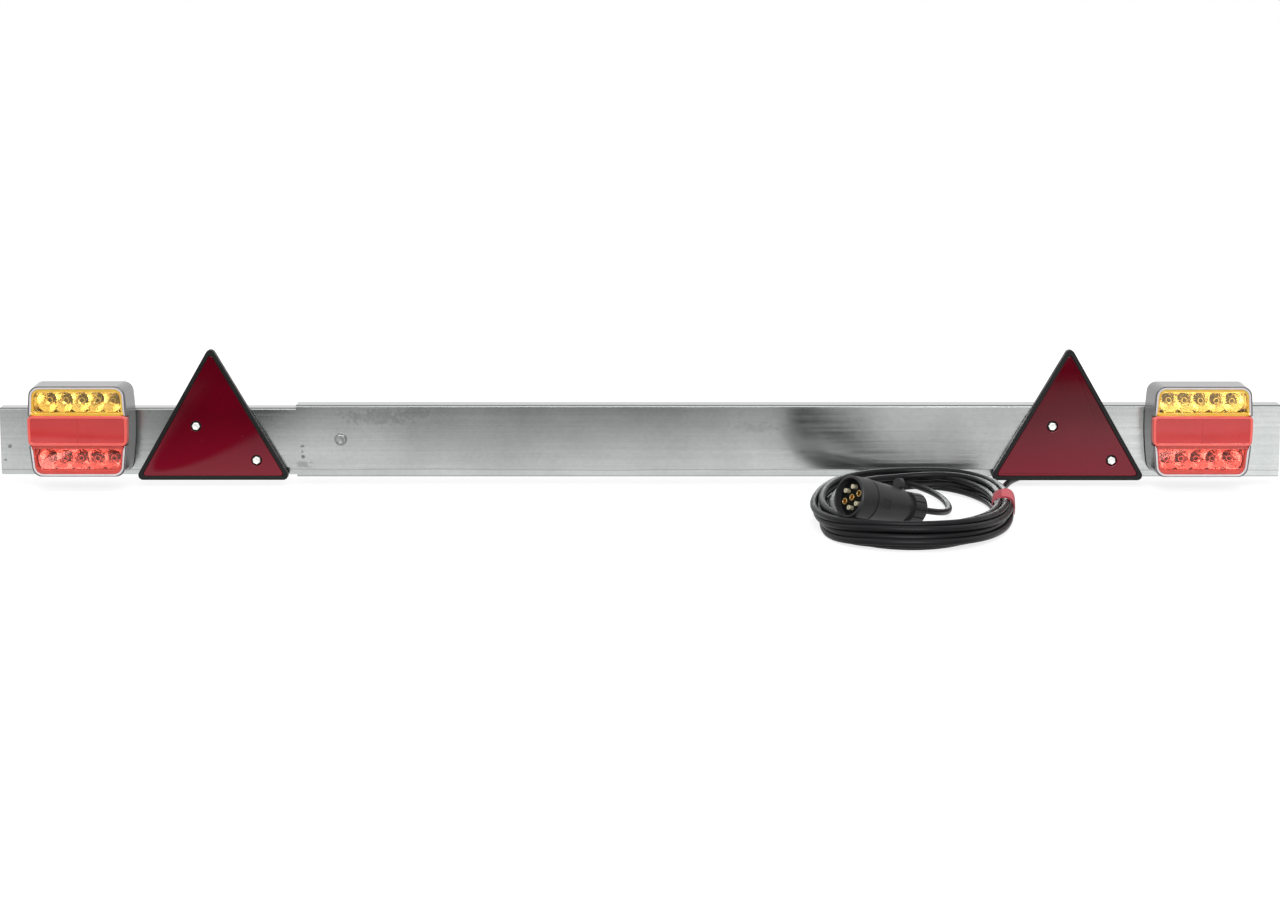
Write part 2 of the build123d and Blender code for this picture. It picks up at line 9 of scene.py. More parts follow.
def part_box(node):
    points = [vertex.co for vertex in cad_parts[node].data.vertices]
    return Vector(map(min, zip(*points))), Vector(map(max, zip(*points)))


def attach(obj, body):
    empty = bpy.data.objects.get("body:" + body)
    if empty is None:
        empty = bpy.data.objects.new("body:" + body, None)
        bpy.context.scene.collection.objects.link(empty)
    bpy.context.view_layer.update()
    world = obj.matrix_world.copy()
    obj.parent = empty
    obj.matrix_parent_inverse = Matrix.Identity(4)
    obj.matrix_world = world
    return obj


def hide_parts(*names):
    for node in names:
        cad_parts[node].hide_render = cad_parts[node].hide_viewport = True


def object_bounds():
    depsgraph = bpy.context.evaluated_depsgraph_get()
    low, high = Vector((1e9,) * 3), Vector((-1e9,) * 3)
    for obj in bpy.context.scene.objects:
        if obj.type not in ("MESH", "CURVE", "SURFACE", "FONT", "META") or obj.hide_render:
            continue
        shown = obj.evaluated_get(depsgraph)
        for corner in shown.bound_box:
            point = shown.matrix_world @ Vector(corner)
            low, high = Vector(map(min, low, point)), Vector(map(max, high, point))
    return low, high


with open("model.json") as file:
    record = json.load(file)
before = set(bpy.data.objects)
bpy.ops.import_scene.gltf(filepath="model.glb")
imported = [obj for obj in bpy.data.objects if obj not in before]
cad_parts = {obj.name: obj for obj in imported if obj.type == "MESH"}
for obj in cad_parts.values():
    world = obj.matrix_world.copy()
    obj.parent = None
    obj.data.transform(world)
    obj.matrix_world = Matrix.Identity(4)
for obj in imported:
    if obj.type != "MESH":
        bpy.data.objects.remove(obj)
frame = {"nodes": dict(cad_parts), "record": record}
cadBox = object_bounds()  # the solids' box, before anything is added
mm = 0.001
floorZ = cadBox[0][2]  # what the board and its cable lie on
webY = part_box("outer_channel")[0].y  # front face of the sleeve
sideWebY = {"left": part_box("inner_channel")[0].y, "right": webY}
sideBody = {"left": "extension", "right": "board"}
upright = Matrix.Rotation(math.radians(90), 4, "X")  # stands up a piece modelled on its back
print("frame loaded:", len(frame["nodes"]), "nodes")


# Small hand tools

def objectMode():
    bpy.ops.object.mode_set(mode="OBJECT")


def deselectAll():
    if bpy.context.object and bpy.context.object.mode != "OBJECT":
        objectMode()
    bpy.ops.object.select_all(action="DESELECT")


def activate(piece):
    deselectAll()
    piece.select_set(True)
    bpy.context.view_layer.objects.active = piece


def selectAll():
    bpy.ops.mesh.select_all(action="SELECT")


def editMode(piece):
    activate(piece)
    bpy.ops.object.mode_set(mode="EDIT")
    selectAll()


def pick(kind, test):  # select faces, edges or vertices by a test, in edit mode
    bpy.ops.mesh.select_mode(type=kind)
    bpy.ops.mesh.select_all(action="DESELECT")
    mesh = bmesh.from_edit_mesh(bpy.context.object.data)
    items = {"VERT": mesh.verts, "EDGE": mesh.edges, "FACE": mesh.faces}[kind]
    for item in items:
        if test(item):
            item.select_set(True)
    mesh.select_flush_mode()
    bmesh.update_edit_mesh(bpy.context.object.data)


def shift(x, y, z):  # move what is selected, in millimetres
    bpy.ops.transform.translate(value=(x * mm, y * mm, z * mm))


def extrude(x, y, z):
    bpy.ops.mesh.extrude_region_move(TRANSFORM_OT_translate={"value": (x * mm, y * mm, z * mm)})


def resize(x, y, z, **options):
    bpy.ops.transform.resize(value=(x, y, z), **options)


def inset(thickness):
    bpy.ops.mesh.inset(thickness=thickness * mm)


def mergeClose(distance):
    selectAll()
    bpy.ops.mesh.remove_doubles(threshold=distance * mm)


def faceOutwards():
    selectAll()
    bpy.ops.mesh.normals_make_consistent(inside=False)


def startPlane(name):  # a small square, all of it selected in edit mode
    deselectAll()
    bpy.ops.mesh.primitive_plane_add(size=2 * mm)
    piece = bpy.context.object
    piece.name = name
    bpy.ops.object.mode_set(mode="EDIT")
    bpy.ops.mesh.select_mode(type="VERT")
    selectAll()
    return piece


def startPoint(name):
    piece = startPlane(name)
    bpy.ops.mesh.merge(type="CENTER")
    return piece


def applyPlace():
    bpy.ops.object.transform_apply(location=True, rotation=True, scale=True)


def addModifier(piece, kind, name, **settings):
    modifier = piece.modifiers.new(name, kind)
    for key, value in settings.items():
        setattr(modifier, key, value)


def softenEdges(piece, width, segments, degrees):
    addModifier(piece, "BEVEL", "softEdges", width=width * mm, segments=segments,
                limit_method="ANGLE", angle_limit=math.radians(degrees))


def applyModifiers(piece):
    activate(piece)
    for modifier in list(piece.modifiers):
        bpy.ops.object.modifier_apply(modifier=modifier.name)


def smoothByAngle(piece, degrees):
    activate(piece)
    bpy.ops.object.shade_smooth_by_angle(angle=math.radians(degrees))


def moved(piece, matrix):  # put a piece's place into its mesh
    piece.data.transform(matrix)
    piece.data.update()
    return piece


def show(piece):
    bpy.context.scene.collection.objects.link(piece)


def copied(piece, name, matrix=None):  # a copy with its own mesh
    twin = piece.copy()
    twin.data = piece.data.copy()
    twin.name = name
    twin.data.name = name
    show(twin)
    if matrix is not None:
        moved(twin, matrix)
    return twin


def joined(pieces, name):
    deselectAll()
    for piece in pieces:
        piece.select_set(True)
    bpy.context.view_layer.objects.active = pieces[0]
    bpy.ops.object.join()
    result = bpy.context.object
    result.name = name
    result.data.name = name
    return result


def turned(name, profile, steps):  # spin (radius, height) pairs round Z
    piece = startPoint(name)
    radius, height = profile[0]
    shift(radius, 0, height)
    for nextRadius, nextHeight in profile[1:]:
        extrude(nextRadius - radius, 0, nextHeight - height)
        radius, height = nextRadius, nextHeight
    selectAll()
    bpy.ops.mesh.spin(steps=steps, angle=2 * math.pi, center=(0, 0, 0), axis=(0, 0, 1))
    mergeClose(0.01)
    faceOutwards()
    objectMode()
    return piece


def wear(piece, *materials):  # give a piece its materials, in slot order
    piece.data.materials.clear()
    for material in materials:
        piece.data.materials.append(material)


# Shader tools: a socket tells which node tree it is in

def link(source, target):
    target.id_data.links.new(source, target)


def addNode(tree, kind, **settings):
    node = tree.nodes.new("ShaderNode" + kind)
    for key, value in settings.items():
        if key in node.inputs.keys():
            node.inputs[key].default_value = value
        else:
            setattr(node, key, value)
    return node


def objectPlace(tree):
    return addNode(tree, "TexCoord").outputs["Object"]


def textured(vector, kind, output, **settings):
    node = addNode(vector.id_data, kind, **settings)
    link(vector, node.inputs["Vector"])
    return node.outputs[output]


def noise(vector, **settings):
    return textured(vector, "TexNoise", "Fac", **settings)


def axes(vector):
    split = textured(vector, "SeparateXYZ", "X").node
    return split.outputs["X"], split.outputs["Y"], split.outputs["Z"]


def remap(source, low, high, toLow=0.0, toHigh=1.0):  # clamped map of a value
    node = addNode(source.id_data, "MapRange")
    labels = ("From Min", "From Max", "To Min", "To Max")
    for label, value in zip(labels, (low, high, toLow, toHigh)):
        node.inputs[label].default_value = value
    link(source, node.inputs["Value"])
    return node.outputs["Result"]


def calc(operation, *values):
    sockets = [value for value in values if isinstance(value, bpy.types.NodeSocket)]
    node = addNode(sockets[0].id_data, "Math", operation=operation)
    for target, value in zip(node.inputs, values):
        if value in sockets:
            link(value, target)
        else:
            target.default_value = value
    return node.outputs[0]


def times(first, second):
    return calc("MULTIPLY", first, second)


def plus(first, second):
    return calc("ADD", first, second)


def minus(first, second):
    return calc("SUBTRACT", first, second)


def mixColor(factor, first, second):
    node = addNode(factor.id_data, "Mix", data_type="RGBA")
    link(factor, node.inputs[0])
    for target, value in ((node.inputs[6], first), (node.inputs[7], second)):
        if isinstance(value, tuple):
            target.default_value = (*value, 1.0)
        else:
            link(value, target)
    return node.outputs[2]


def buildMottle():  # blotches and fine specks on Object coordinates
    group = bpy.data.node_groups.new("mottle", "ShaderNodeTree")
    sockets = {"INPUT": {"Light": "Color", "Dark": "Color", "Blotch Scale": "Float", "Speck Scale": "Float"},
               "OUTPUT": {"Color": "Color", "Blotch": "Float", "Speck": "Float"}}
    for way, labels in sockets.items():
        for label, kind in labels.items():
            group.interface.new_socket(label, in_out=way, socket_type="NodeSocket" + kind)
    inside = group.nodes.new("NodeGroupInput").outputs
    outside = group.nodes.new("NodeGroupOutput").inputs
    place = objectPlace(group)
    total = None
    for label, detail, roughness, share in (("Blotch", 4.0, 0.55, 0.7), ("Speck", 2.0, 0.6, 0.3)):
        spots = noise(place, Detail=detail, Roughness=roughness)
        link(inside[label + " Scale"], spots.node.inputs["Scale"])
        mask = remap(spots, 0.3, 0.7)
        link(mask, outside[label])
        part = times(mask, share)
        total = part if total is None else plus(total, part)
    link(mixColor(total, inside["Dark"], inside["Light"]), outside["Color"])
    return group


mottleGroup = buildMottle()


def startMaterial(name, sockets):
    material = bpy.data.materials.new(name)
    material.use_nodes = True
    shader = material.node_tree.nodes["Principled BSDF"].inputs
    for label, value in sockets.items():
        shader[label].default_value = value
    return material, shader


def startMottled(name, light, dark, scales, sockets):  # a material, its sockets and its mottle
    material, shader = startMaterial(name, sockets)
    node = addNode(material.node_tree, "Group", node_tree=mottleGroup)
    node.inputs["Light"].default_value = (*light, 1)
    node.inputs["Dark"].default_value = (*dark, 1)
    node.inputs["Blotch Scale"].default_value, node.inputs["Speck Scale"].default_value = scales
    return material, shader, node.outputs


def addBump(normal, height, strength, distance):  # gives back the socket for a bump below it
    bump = addNode(height.id_data, "Bump", Strength=strength, Distance=distance)
    link(height, bump.inputs["Height"])
    link(bump.outputs["Normal"], normal)
    return bump.inputs["Normal"]


# Plain finishes

def mottled(name, light, dark, scales, rough, bump=None, sockets=None):
    material, shader, mottle = startMottled(name, light, dark, scales, sockets or {})
    link(mottle["Color"], shader["Base Color"])
    mask, low, high = rough
    link(remap(mottle[mask], 0, 1, low, high), shader["Roughness"])
    if bump:
        mask, strength, height = bump
        addBump(shader["Normal"], mottle[mask], strength, height)
    return material


soft = {"Subsurface Weight": 0.6, "Subsurface Scale": 0.004}
clear = {"Transmission Weight": 1.0, "IOR": 1.49}
metal = {"Metallic": 1.0}
plainLooks = {  # light, dark, blotch and speck scales, roughness by a mask, bump by a mask, sockets
    "lampGrey": ((0.175, 0.172, 0.173), (0.14, 0.137, 0.138), (35, 1800),
                 ("Blotch", 0.12, 0.18), ("Speck", 0.05, 0.0001)),
    "blackFoam": ((0.03, 0.03, 0.03), (0.012, 0.012, 0.012), (120, 2600),
                  ("Blotch", 0.85, 0.95), ("Speck", 0.6, 0.0005)),
    "blackRubber": ((0.028, 0.028, 0.03), (0.018, 0.018, 0.02), (60, 1500),
                    ("Blotch", 0.5, 0.65), ("Speck", 0.15, 0.0002)),
    "frameBlack": ((0.0065, 0.006, 0.006), (0.004, 0.0035, 0.0035), (45, 2200),
                   ("Blotch", 0.34, 0.5), ("Speck", 0.2, 0.0002), {"Specular IOR Level": 0.22}),
    "plugBlack": ((0.022, 0.022, 0.024), (0.013, 0.013, 0.014), (70, 2400),
                  ("Blotch", 0.42, 0.55), ("Speck", 0.25, 0.0002), {"Specular IOR Level": 0.35}),
    # black plastic insert made darker than the shell: painted shade deep in the plug's mouth
    "insertShadeBlack": ((0.004, 0.004, 0.004), (0.002, 0.002, 0.002), (90, 2400),
                    ("Blotch", 0.6, 0.7), ("Speck", 0.1, 0.0002), {"Specular IOR Level": 0.1}),
    "boardWhite": ((0.82, 0.83, 0.80), (0.74, 0.76, 0.72), (80, 1500),
                   ("Blotch", 0.4, 0.5), ("Speck", 0.05, 0.0001)),
    "cableBlack": ((0.013, 0.013, 0.014), (0.007, 0.007, 0.008), (28, 1100),
                   ("Blotch", 0.34, 0.44), ("Speck", 0.05, 0.0002), {"Specular IOR Level": 0.13}),
    "zincPlate": ((0.68, 0.69, 0.67), (0.48, 0.49, 0.48), (220, 1600),
                  ("Blotch", 0.22, 0.4), ("Speck", 0.1, 0.0002), metal),
    "clampZinc": ((0.36, 0.365, 0.36), (0.13, 0.135, 0.13), (220, 1600),
                  ("Blotch", 0.34, 0.5), ("Speck", 0.1, 0.0002), metal),
    "boltZinc": ((0.90, 0.91, 0.88), (0.72, 0.75, 0.71), (420, 1900),
                 ("Blotch", 0.28, 0.42), ("Blotch", 0.2, 0.0003), {"Metallic": 0.3}),
    "turnedBrass": ((0.86, 0.64, 0.28), (0.62, 0.42, 0.15), (260, 1800), ("Speck", 0.18, 0.32), None, metal),
    "tinnedPins": ((0.76, 0.70, 0.52), (0.52, 0.46, 0.32), (260, 1800), ("Speck", 0.25, 0.4), None,
                   {"Metallic": 0.6}),
    "metallisedCups": ((0.96, 0.95, 0.92), (0.88, 0.87, 0.83), (180, 1500),
                       ("Speck", 0.06, 0.14), ("Blotch", 0.45, 0.0008), metal),
    "amberFrame": ((1.0, 0.50, 0.07), (0.95, 0.43, 0.05), (60, 900),
                   ("Blotch", 0.12, 0.2), ("Blotch", 0.05, 0.0005), soft),
    "redFrame": ((0.74, 0.085, 0.062), (0.62, 0.055, 0.045), (60, 900),
                 ("Blotch", 0.12, 0.2), ("Blotch", 0.05, 0.0005), soft),
    "amberWindow": ((1.0, 0.80, 0.37), (1.0, 0.76, 0.31), (50, 700),
                    ("Blotch", 0.01, 0.03), ("Blotch", 0.03, 0.0005), clear),
    "redWindow": ((1.0, 0.37, 0.32), (0.97, 0.31, 0.27), (50, 700),
                  ("Blotch", 0.01, 0.03), ("Blotch", 0.03, 0.0005), clear),
    "reflexFrame": ((0.82, 0.13, 0.105), (0.74, 0.10, 0.085), (60, 900),
                    ("Blotch", 0.1, 0.2), ("Blotch", 0.05, 0.0005)),
    "bezelPale": ((0.64, 0.60, 0.62), (0.56, 0.52, 0.54), (60, 900),
                  ("Blotch", 0.2, 0.3), ("Blotch", 0.05, 0.0004)),
    # painted shade: the clear diodes are given a dark olive colour for how dark they look in the cups
    "shadedDiode": ((0.16, 0.13, 0.04), (0.07, 0.055, 0.015), (300, 900),
                   ("Blotch", 0.03, 0.08), ("Blotch", 0.03, 0.0002), {"Coat Weight": 0.4}),
}
finishes = {name: mottled(name, *look) for name, look in plainLooks.items()}


# Galvanised sheet

galvanisedLook = {
    "mottle": ((0.62, 0.64, 0.63), (0.47, 0.49, 0.485), (14, 260)),  # light, dark, blotch and speck scales
    "roughness": (0.13, 0.16),
    "rolling": (3, 40, 420),  # how the rolling lines are stretched along the bar
    "lineDark": (0.36, 0.38, 0.375),
    "lineShare": 0.25,
    "lineRough": 0.06,
    "lineBump": (0.03, 0.0002),
    "paintedBendShade": (0.16, 0.165, 0.16),  # painted shade round the upper bend, at its seam and on the flange; the zinc is also rougher round the bend
    "crease": (0.06, 0.2),  # how far a normal points up at the start of the upper bend
    "creaseShare": 0.75,
    "seam": (0.6, 0.75),  # and at its end
    "seamShare": 0.2,
    "flat": (0.985, 0.999),  # and on the flange
    "flatShare": 0.3,
    "bendRough": 0.35,
    "toe": -58.3,  # painted shade along a faint rolled crease above the lower bend
    "toeHalf": (0.3, 0.9),  # where it fades, to either side
    "toeShare": 0.3,
    "toeDrift": 0.8,
    "lowerBendShade": (0.6, 1.6),  # painted shade at the lower bend, fading out between these heights above the foot
    "lowerShare": 0.6,
    "footShade": (0.12, 0.12, 0.118),
    "leanIn": (0.135, 0.285),  # the web leans back a little between here
    "leanOut": (0.40, 0.46),  # and here
    "lean": 0.068,
    "dirt": (0.08, 0.082, 0.075),
    "marks": [  # dirt at (along, up) in millimetres, its half width and height, its strength
        (-350.4, -33.5, 2.2, 1.7, 0.75), (-350.7, -39.8, 2.1, 1.8, 0.85), (-350.0, -44.6, 2.0, 1.6, 0.75),
        (-349.5, -53.0, 8.0, 3.6, 0.34), (-654.6, -34.6, 2.3, 2.7, 0.7), (-659.8, -48.3, 1.8, 1.5, 0.6),
        (-273.0, -3.0, 34.0, 8.0, 0.22), (-236.0, 1.0, 20.0, 5.0, 0.18), (120.0, -14.0, 26.0, 5.0, 0.12),
    ],
}


def addMarks(place, x, z):  # ragged dirt spots on the web
    ragged = noise(place, Scale=260.0, Detail=3.0, Roughness=0.6)
    fray = remap(ragged, 0.3, 0.7, -0.55, 0.55)
    total = None
    for along, up, halfWide, halfHigh, strength in galvanisedLook["marks"]:
        across = calc("DIVIDE", minus(x, along * mm), halfWide * mm)
        rise = calc("DIVIDE", minus(z, up * mm), halfHigh * mm)
        reach = calc("SQRT", plus(times(across, across), times(rise, rise)))
        mark = remap(plus(reach, fray), 0.5, 1.1, strength, 0.0)
        total = mark if total is None else calc("MAXIMUM", total, mark)
    return total


def galvanisedSheet():
    look = galvanisedLook
    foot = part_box("outer_channel")[0].z
    material, shader, mottle = startMottled("galvanisedSheet", *look["mottle"], metal)
    place = objectPlace(material.node_tree)
    x, z = axes(place)[::2]
    stretched = textured(place, "Mapping", "Vector", Scale=look["rolling"])
    lines = remap(noise(stretched, Scale=1.0, Detail=3.0, Roughness=0.6), 0.35, 0.7)
    color = mixColor(times(lines, look["lineShare"]), mottle["Color"], look["lineDark"])
    color = mixColor(addMarks(place, x, z), color, look["dirt"])
    reach = look["toeDrift"] * mm
    drift = remap(noise(place, Scale=9.0, Detail=3.0), 0.3, 0.7, -reach, reach)
    # painted shade along the rolled crease and at the lower bend
    fromToe = calc("ABSOLUTE", minus(plus(z, drift), look["toe"] * mm))
    near, off = look["toeHalf"]
    toe = remap(fromToe, near * mm, off * mm, look["toeShare"], 0.0)
    near, off = look["lowerBendShade"]
    lowerBendShade = remap(z, foot + near * mm, foot + off * mm, look["lowerShare"], 0.0)
    color = mixColor(calc("MAXIMUM", toe, lowerBendShade), color, look["footShade"])
    # painted shade: the colour darkens round the upper bend, at its seam and on the flange top
    upward = axes(addNode(material.node_tree, "NewGeometry").outputs["Normal"])[2]
    notFlat = remap(upward, *look["flat"], 1.0, 0.0)
    crease = times(remap(upward, *look["crease"]), notFlat)
    seam = times(remap(upward, *look["seam"]), notFlat)
    bendShadeMask = plus(times(crease, look["creaseShare"]), times(seam, look["seamShare"]))
    bendShadeMask = plus(bendShadeMask, remap(upward, *look["flat"], 0.0, look["flatShare"]))
    link(mixColor(bendShadeMask, color, look["paintedBendShade"]), shader["Base Color"])
    rough = remap(mottle["Blotch"], 0, 1, *look["roughness"])
    rough = plus(rough, times(lines, look["lineRough"]))
    link(plus(rough, times(crease, look["bendRough"])), shader["Roughness"])
    below = addBump(shader["Normal"], lines, *look["lineBump"])
    lean = remap(x, *look["leanIn"], 0.0, look["lean"])
    lean.node.interpolation_type = "SMOOTHSTEP"
    lean = times(lean, remap(x, *look["leanOut"], 1.0, 0.0))
    addBump(below, times(lean, minus(foot, z)), 1.0, 1.0)
    return material


# Reflex lenses and strap cloth

triangleLook = {
    "mottle": ((0.105, 0.0003, 0.007), (0.050, 0.0001, 0.003), (11, 900)),
    "cells": (30, 480.0, 0.12),  # small cells behind the lens: degrees turned, scale, looseness
    "comb": (0.16, 0.002, 0.012),
    "combShare": 0.35,
    "foot": (0.21, 0.0008, 0.014),  # painted light: it is lighter towards the bottom, where the lens mirrors the floor
    "lowerLightFrom": (-0.065, 0.0),
    "lowerLightShare": 0.75,
    "scuff": (0.30, 0.10, 0.12),
    "scuffShare": 0.35,
    "roughness": (0.03, 0.35),
}
reflexLook = {
    "mottle": ((0.62, 0.050, 0.046), (0.53, 0.036, 0.035), (40, 900)),
    "cells": (45, 420.0, 0.0),
    "comb": (0.40, 0.025, 0.03),
    "combShare": 0.45,
}


def combed(place, degrees, scale, loose):  # distance from the middles of small cells
    turn = textured(place, "Mapping", "Vector", Rotation=(0, math.radians(degrees), 0))
    return textured(turn, "TexVoronoi", "Distance", Scale=scale, Randomness=loose)


def triangleRed():
    look = triangleLook
    sockets = {"Specular IOR Level": 0.38}
    material, shader, mottle = startMottled("triangleRed", *look["mottle"], sockets)
    place = objectPlace(material.node_tree)
    comb = remap(combed(place, *look["cells"]), 0.35, 0.6)
    color = mixColor(times(comb, look["combShare"]), mottle["Color"], look["comb"])
    # painted light towards the bottom of the lens
    foot = remap(axes(place)[2], *look["lowerLightFrom"], look["lowerLightShare"], 0.0)
    color = mixColor(foot, color, look["foot"])
    scuffs = remap(noise(place, Scale=130.0, Detail=5.0, Roughness=0.7), 0.68, 0.76)
    link(mixColor(times(scuffs, look["scuffShare"]), color, look["scuff"]), shader["Base Color"])
    link(remap(scuffs, 0, 1, *look["roughness"]), shader["Roughness"])
    addBump(shader["Normal"], comb, 0.02, 0.0003)
    return material


def reflexField():  # prism backing of the reflex band, in small cells
    look = reflexLook
    material, shader, mottle = startMottled("reflexField", *look["mottle"], {"Roughness": 0.12})
    place = objectPlace(material.node_tree)
    prism = remap(combed(place, *look["cells"]), 0.1, 0.6)
    link(mixColor(times(prism, look["combShare"]), mottle["Color"], look["comb"]), shader["Base Color"])
    addBump(shader["Normal"], prism, 0.08, 0.0005)
    return material


def strapCloth(name, light, dark, thread):  # woven hook-and-loop strap
    sockets = {"Roughness": 0.85, "Sheen Weight": 0.12}
    material, shader, mottle = startMottled(name, light, dark, (160, 1400), sockets)
    place = objectPlace(material.node_tree)
    threads = {"Scale": 330.0, "Distortion": 1.5}
    weft = textured(place, "TexWave", "Fac", bands_direction="X", **threads)
    warp = textured(place, "TexWave", "Fac", bands_direction="Z", **threads)
    weave = times(weft, warp)
    link(mixColor(times(weave, 0.35), mottle["Color"], thread), shader["Base Color"])
    addBump(shader["Normal"], weave, 0.5, 0.0005)
    return material


strapLooks = {  # light, dark and thread
    "strapLoops": ((0.36, 0.030, 0.045), (0.24, 0.012, 0.022), (0.44, 0.06, 0.08)),
    "strapBack": ((0.52, 0.085, 0.105), (0.42, 0.060, 0.080), (0.58, 0.13, 0.15)),
}
finishes.update({name: strapCloth(name, *look) for name, look in strapLooks.items()})
finishes["galvanisedSheet"] = galvanisedSheet()
finishes["triangleRed"] = triangleRed()
finishes["reflexField"] = reflexField()

slotFinish = {
    "galvanised_sheet": "galvanisedSheet", "zinc_fastener": "zincPlate", "lamp_grey": "lampGrey",
    "foam_black": "blackFoam", "rubber_black": "blackRubber", "frame_black": "frameBlack",
    "plug_black": "plugBlack", "circuit_board": "boardWhite", "contact_brass": "turnedBrass",
    "cable_black": "cableBlack",
}


def dressSolids():
    for row in frame["record"]["subparts"]:
        finish = slotFinish.get(row["material_slot"])
        if finish:
            for materialSlot in frame["nodes"][row["node"]].material_slots:
                materialSlot.material = finishes[finish]


dressSolids()
print("solids dressed")


def softCopy(node, finish, slotName, body, edge, segments=2):  # a solid with its edges softened
    first, *others = node.split("_")
    name = first + "".join(word.capitalize() for word in others)
    piece = bpy.data.objects.new(name, frame["nodes"][node].data.copy())
    piece.data.name = name
    show(piece)
    editMode(piece)
    mergeClose(0.01)
    bpy.ops.mesh.dissolve_limited(angle_limit=math.radians(1.5))
    objectMode()
    softenEdges(piece, edge, segments, 35)
    applyModifiers(piece)
    smoothByAngle(piece, 40)
    addModifier(piece, "WEIGHTED_NORMAL", "flatFaces", keep_sharp=True)
    applyModifiers(piece)
    wear(piece, finishes[finish])
    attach(piece, body)
    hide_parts(node)
    return piece


# Cable: one spline from the lamp's inlet through the coil to the plug

cableSpec = {
    "diameter": 6.5,
    "lead": [  # along the bar, ahead of the web, above the floor
        (575.5, 1, 47), (575.5, -31, 47), (568, -62, 40.5), (549, -86, 27), (521, -98, 12), (488, -99, 3.8),
        (456, -88, 3.3), (427, -66, 3.3), (403, -38, 3.3), (386, -8, 3.3), (377, 22, 3.3), (369, 51, 3.6),
        (363, 80, 5),
    ],
    "tail": [(256, 29, 11.5), (277, 44, 9.5), (293, 67, 7), (303, 96, 5.2), (306, 127, 4.3),
             (305, 157, 5), (300, 187, 7.5), (292, 214, 11.5)],
    "coilMiddle": (266.5, 182.5),
    "coilTurn": 8,  # degrees, its back leans to the right
    "halfWide": 95.7,
    "halfLong": 177.7,
    "squareness": 2.3,
    "turns": 10,
    "pointsPerTurn": 20,
    "start": -22,  # degrees past the right-hand side, clockwise from above
    "end": 232,
    "slots": [(0, 0), (1, 0), (2, 0), (1.5, 1), (0.5, 1), (0, 2), (1, 2), (2, 2), (1.5, 3), (0.5, 3)],
    "layer": 0.866,  # height of a layer of turns that lie in the gaps of the one below, in diameters
    "fan": (1.1, 1.3, 1.35, 2.7),  # how far the bundle spreads, at four stations round the coil
    "pile": (0.9, 1.1, 0.95, 0.9),  # how high it stands
    "twist": (0, -28, 34, 8),  # degrees that it rolls over, top outwards
    "sway": 2.4,  # each turn wanders by this much
    "swayStep": 2.4,  # and starts this far on, in radians
    "crossing": (235, 100),  # each turn moves to the next place at the back: from here, over so many degrees
    "hop": 1.2,  # and rises by this much on its way
    "strapLift": 1.2,  # the strap lifts the bundle
    "clear": 0.1,
    "length": 8.6,
}


def cordPoint(along, ahead, up):
    return Vector((along * mm, webY - ahead * mm, floorZ + up * mm))


def stationAt(stations, angle):  # smooth between the four stations
    quarter = angle % 360 / 90
    index = int(quarter)
    blend = (1 - math.cos(math.pi * (quarter - index))) / 2
    return stations[index] * (1 - blend) + stations[(index + 1) % 4] * blend


def bundlePlace(slot, angle):  # inward and upward place of one turn in the bundle, in millimetres
    spec = cableSpec
    roll = math.radians(stationAt(spec["twist"], angle))
    fan = stationAt(spec["fan"], angle)
    pile = stationAt(spec["pile"], angle)

    def rolled(across, layer):
        side = (across - 1) * spec["diameter"]
        high = (layer - 1.5) * spec["layer"] * spec["diameter"]
        inward = (side * math.cos(roll) - high * math.sin(roll)) * fan
        upward = (side * math.sin(roll) + high * math.cos(roll)) * pile
        return inward, upward

    everyTurn = [rolled(*place) for place in spec["slots"]]
    inward, upward = rolled(*slot)
    return inward - min(place[0] for place in everyTurn), upward - min(place[1] for place in everyTurn)


def coilPoint(angle):
    spec = cableSpec
    lap = math.floor(angle / 360)
    crossFrom, crossOver = spec["crossing"]
    change = min(max((angle - 360 * lap - crossFrom) / crossOver, 0), 1)
    change = change * change * (3 - 2 * change)
    slots = spec["slots"]
    after = slots[min(lap + 1, len(slots) - 1)]
    here = slots[lap] if lap >= 0 else after
    slot = [here[axis] * (1 - change) + after[axis] * change for axis in (0, 1)]
    inward, upward = bundlePlace(slot, angle)
    turn = math.radians(angle)
    loose = (1 - math.cos(turn)) / 2  # nothing wanders inside the strap
    inward += spec["sway"] * loose * math.sin(turn + spec["swayStep"] * lap)
    up = spec["diameter"] / 2 + spec["clear"] + upward + spec["hop"] * math.sin(math.pi * change)
    up += spec["strapLift"] * max(0.0, math.cos(turn))
    power = 2 / spec["squareness"]
    across = (spec["halfWide"] - inward) * math.copysign(abs(math.cos(turn)) ** power, math.cos(turn))
    forward = (spec["halfLong"] - inward) * math.copysign(abs(math.sin(turn)) ** power, math.sin(turn))
    lean = math.radians(spec["coilTurn"])
    middle = spec["coilMiddle"]
    x = middle[0] + across * math.cos(lean) - forward * math.sin(lean)
    ahead = middle[1] + across * math.sin(lean) + forward * math.cos(lean)
    return cordPoint(x, ahead, up)


def cordRoute():
    spec = cableSpec
    points = [cordPoint(*spot) for spot in spec["lead"]]
    last = 360 * (spec["turns"] - 1) + spec["end"]
    count = round((last - spec["start"]) / 360 * spec["pointsPerTurn"])
    for index in range(count + 1):
        points.append(coilPoint(spec["start"] + (last - spec["start"]) * index / count))
    points += [cordPoint(*spot) for spot in spec["tail"]]
    for behind in plugSpec["entry"]:
        points.append(plugFrame() @ Vector((0, 0, plugSpec["length"] * mm + behind * mm)))
    return points


# Plug: its own frame, Z from the open face backwards

plugSpec = {
    "nose": (194.9, 298.9, 42.5),
    "heading": 37.0,
    "dip": 14.0,
    "length": 90.8,
    "entry": (16, -8),  # the cable's last points, behind the plug's end and inside it
}


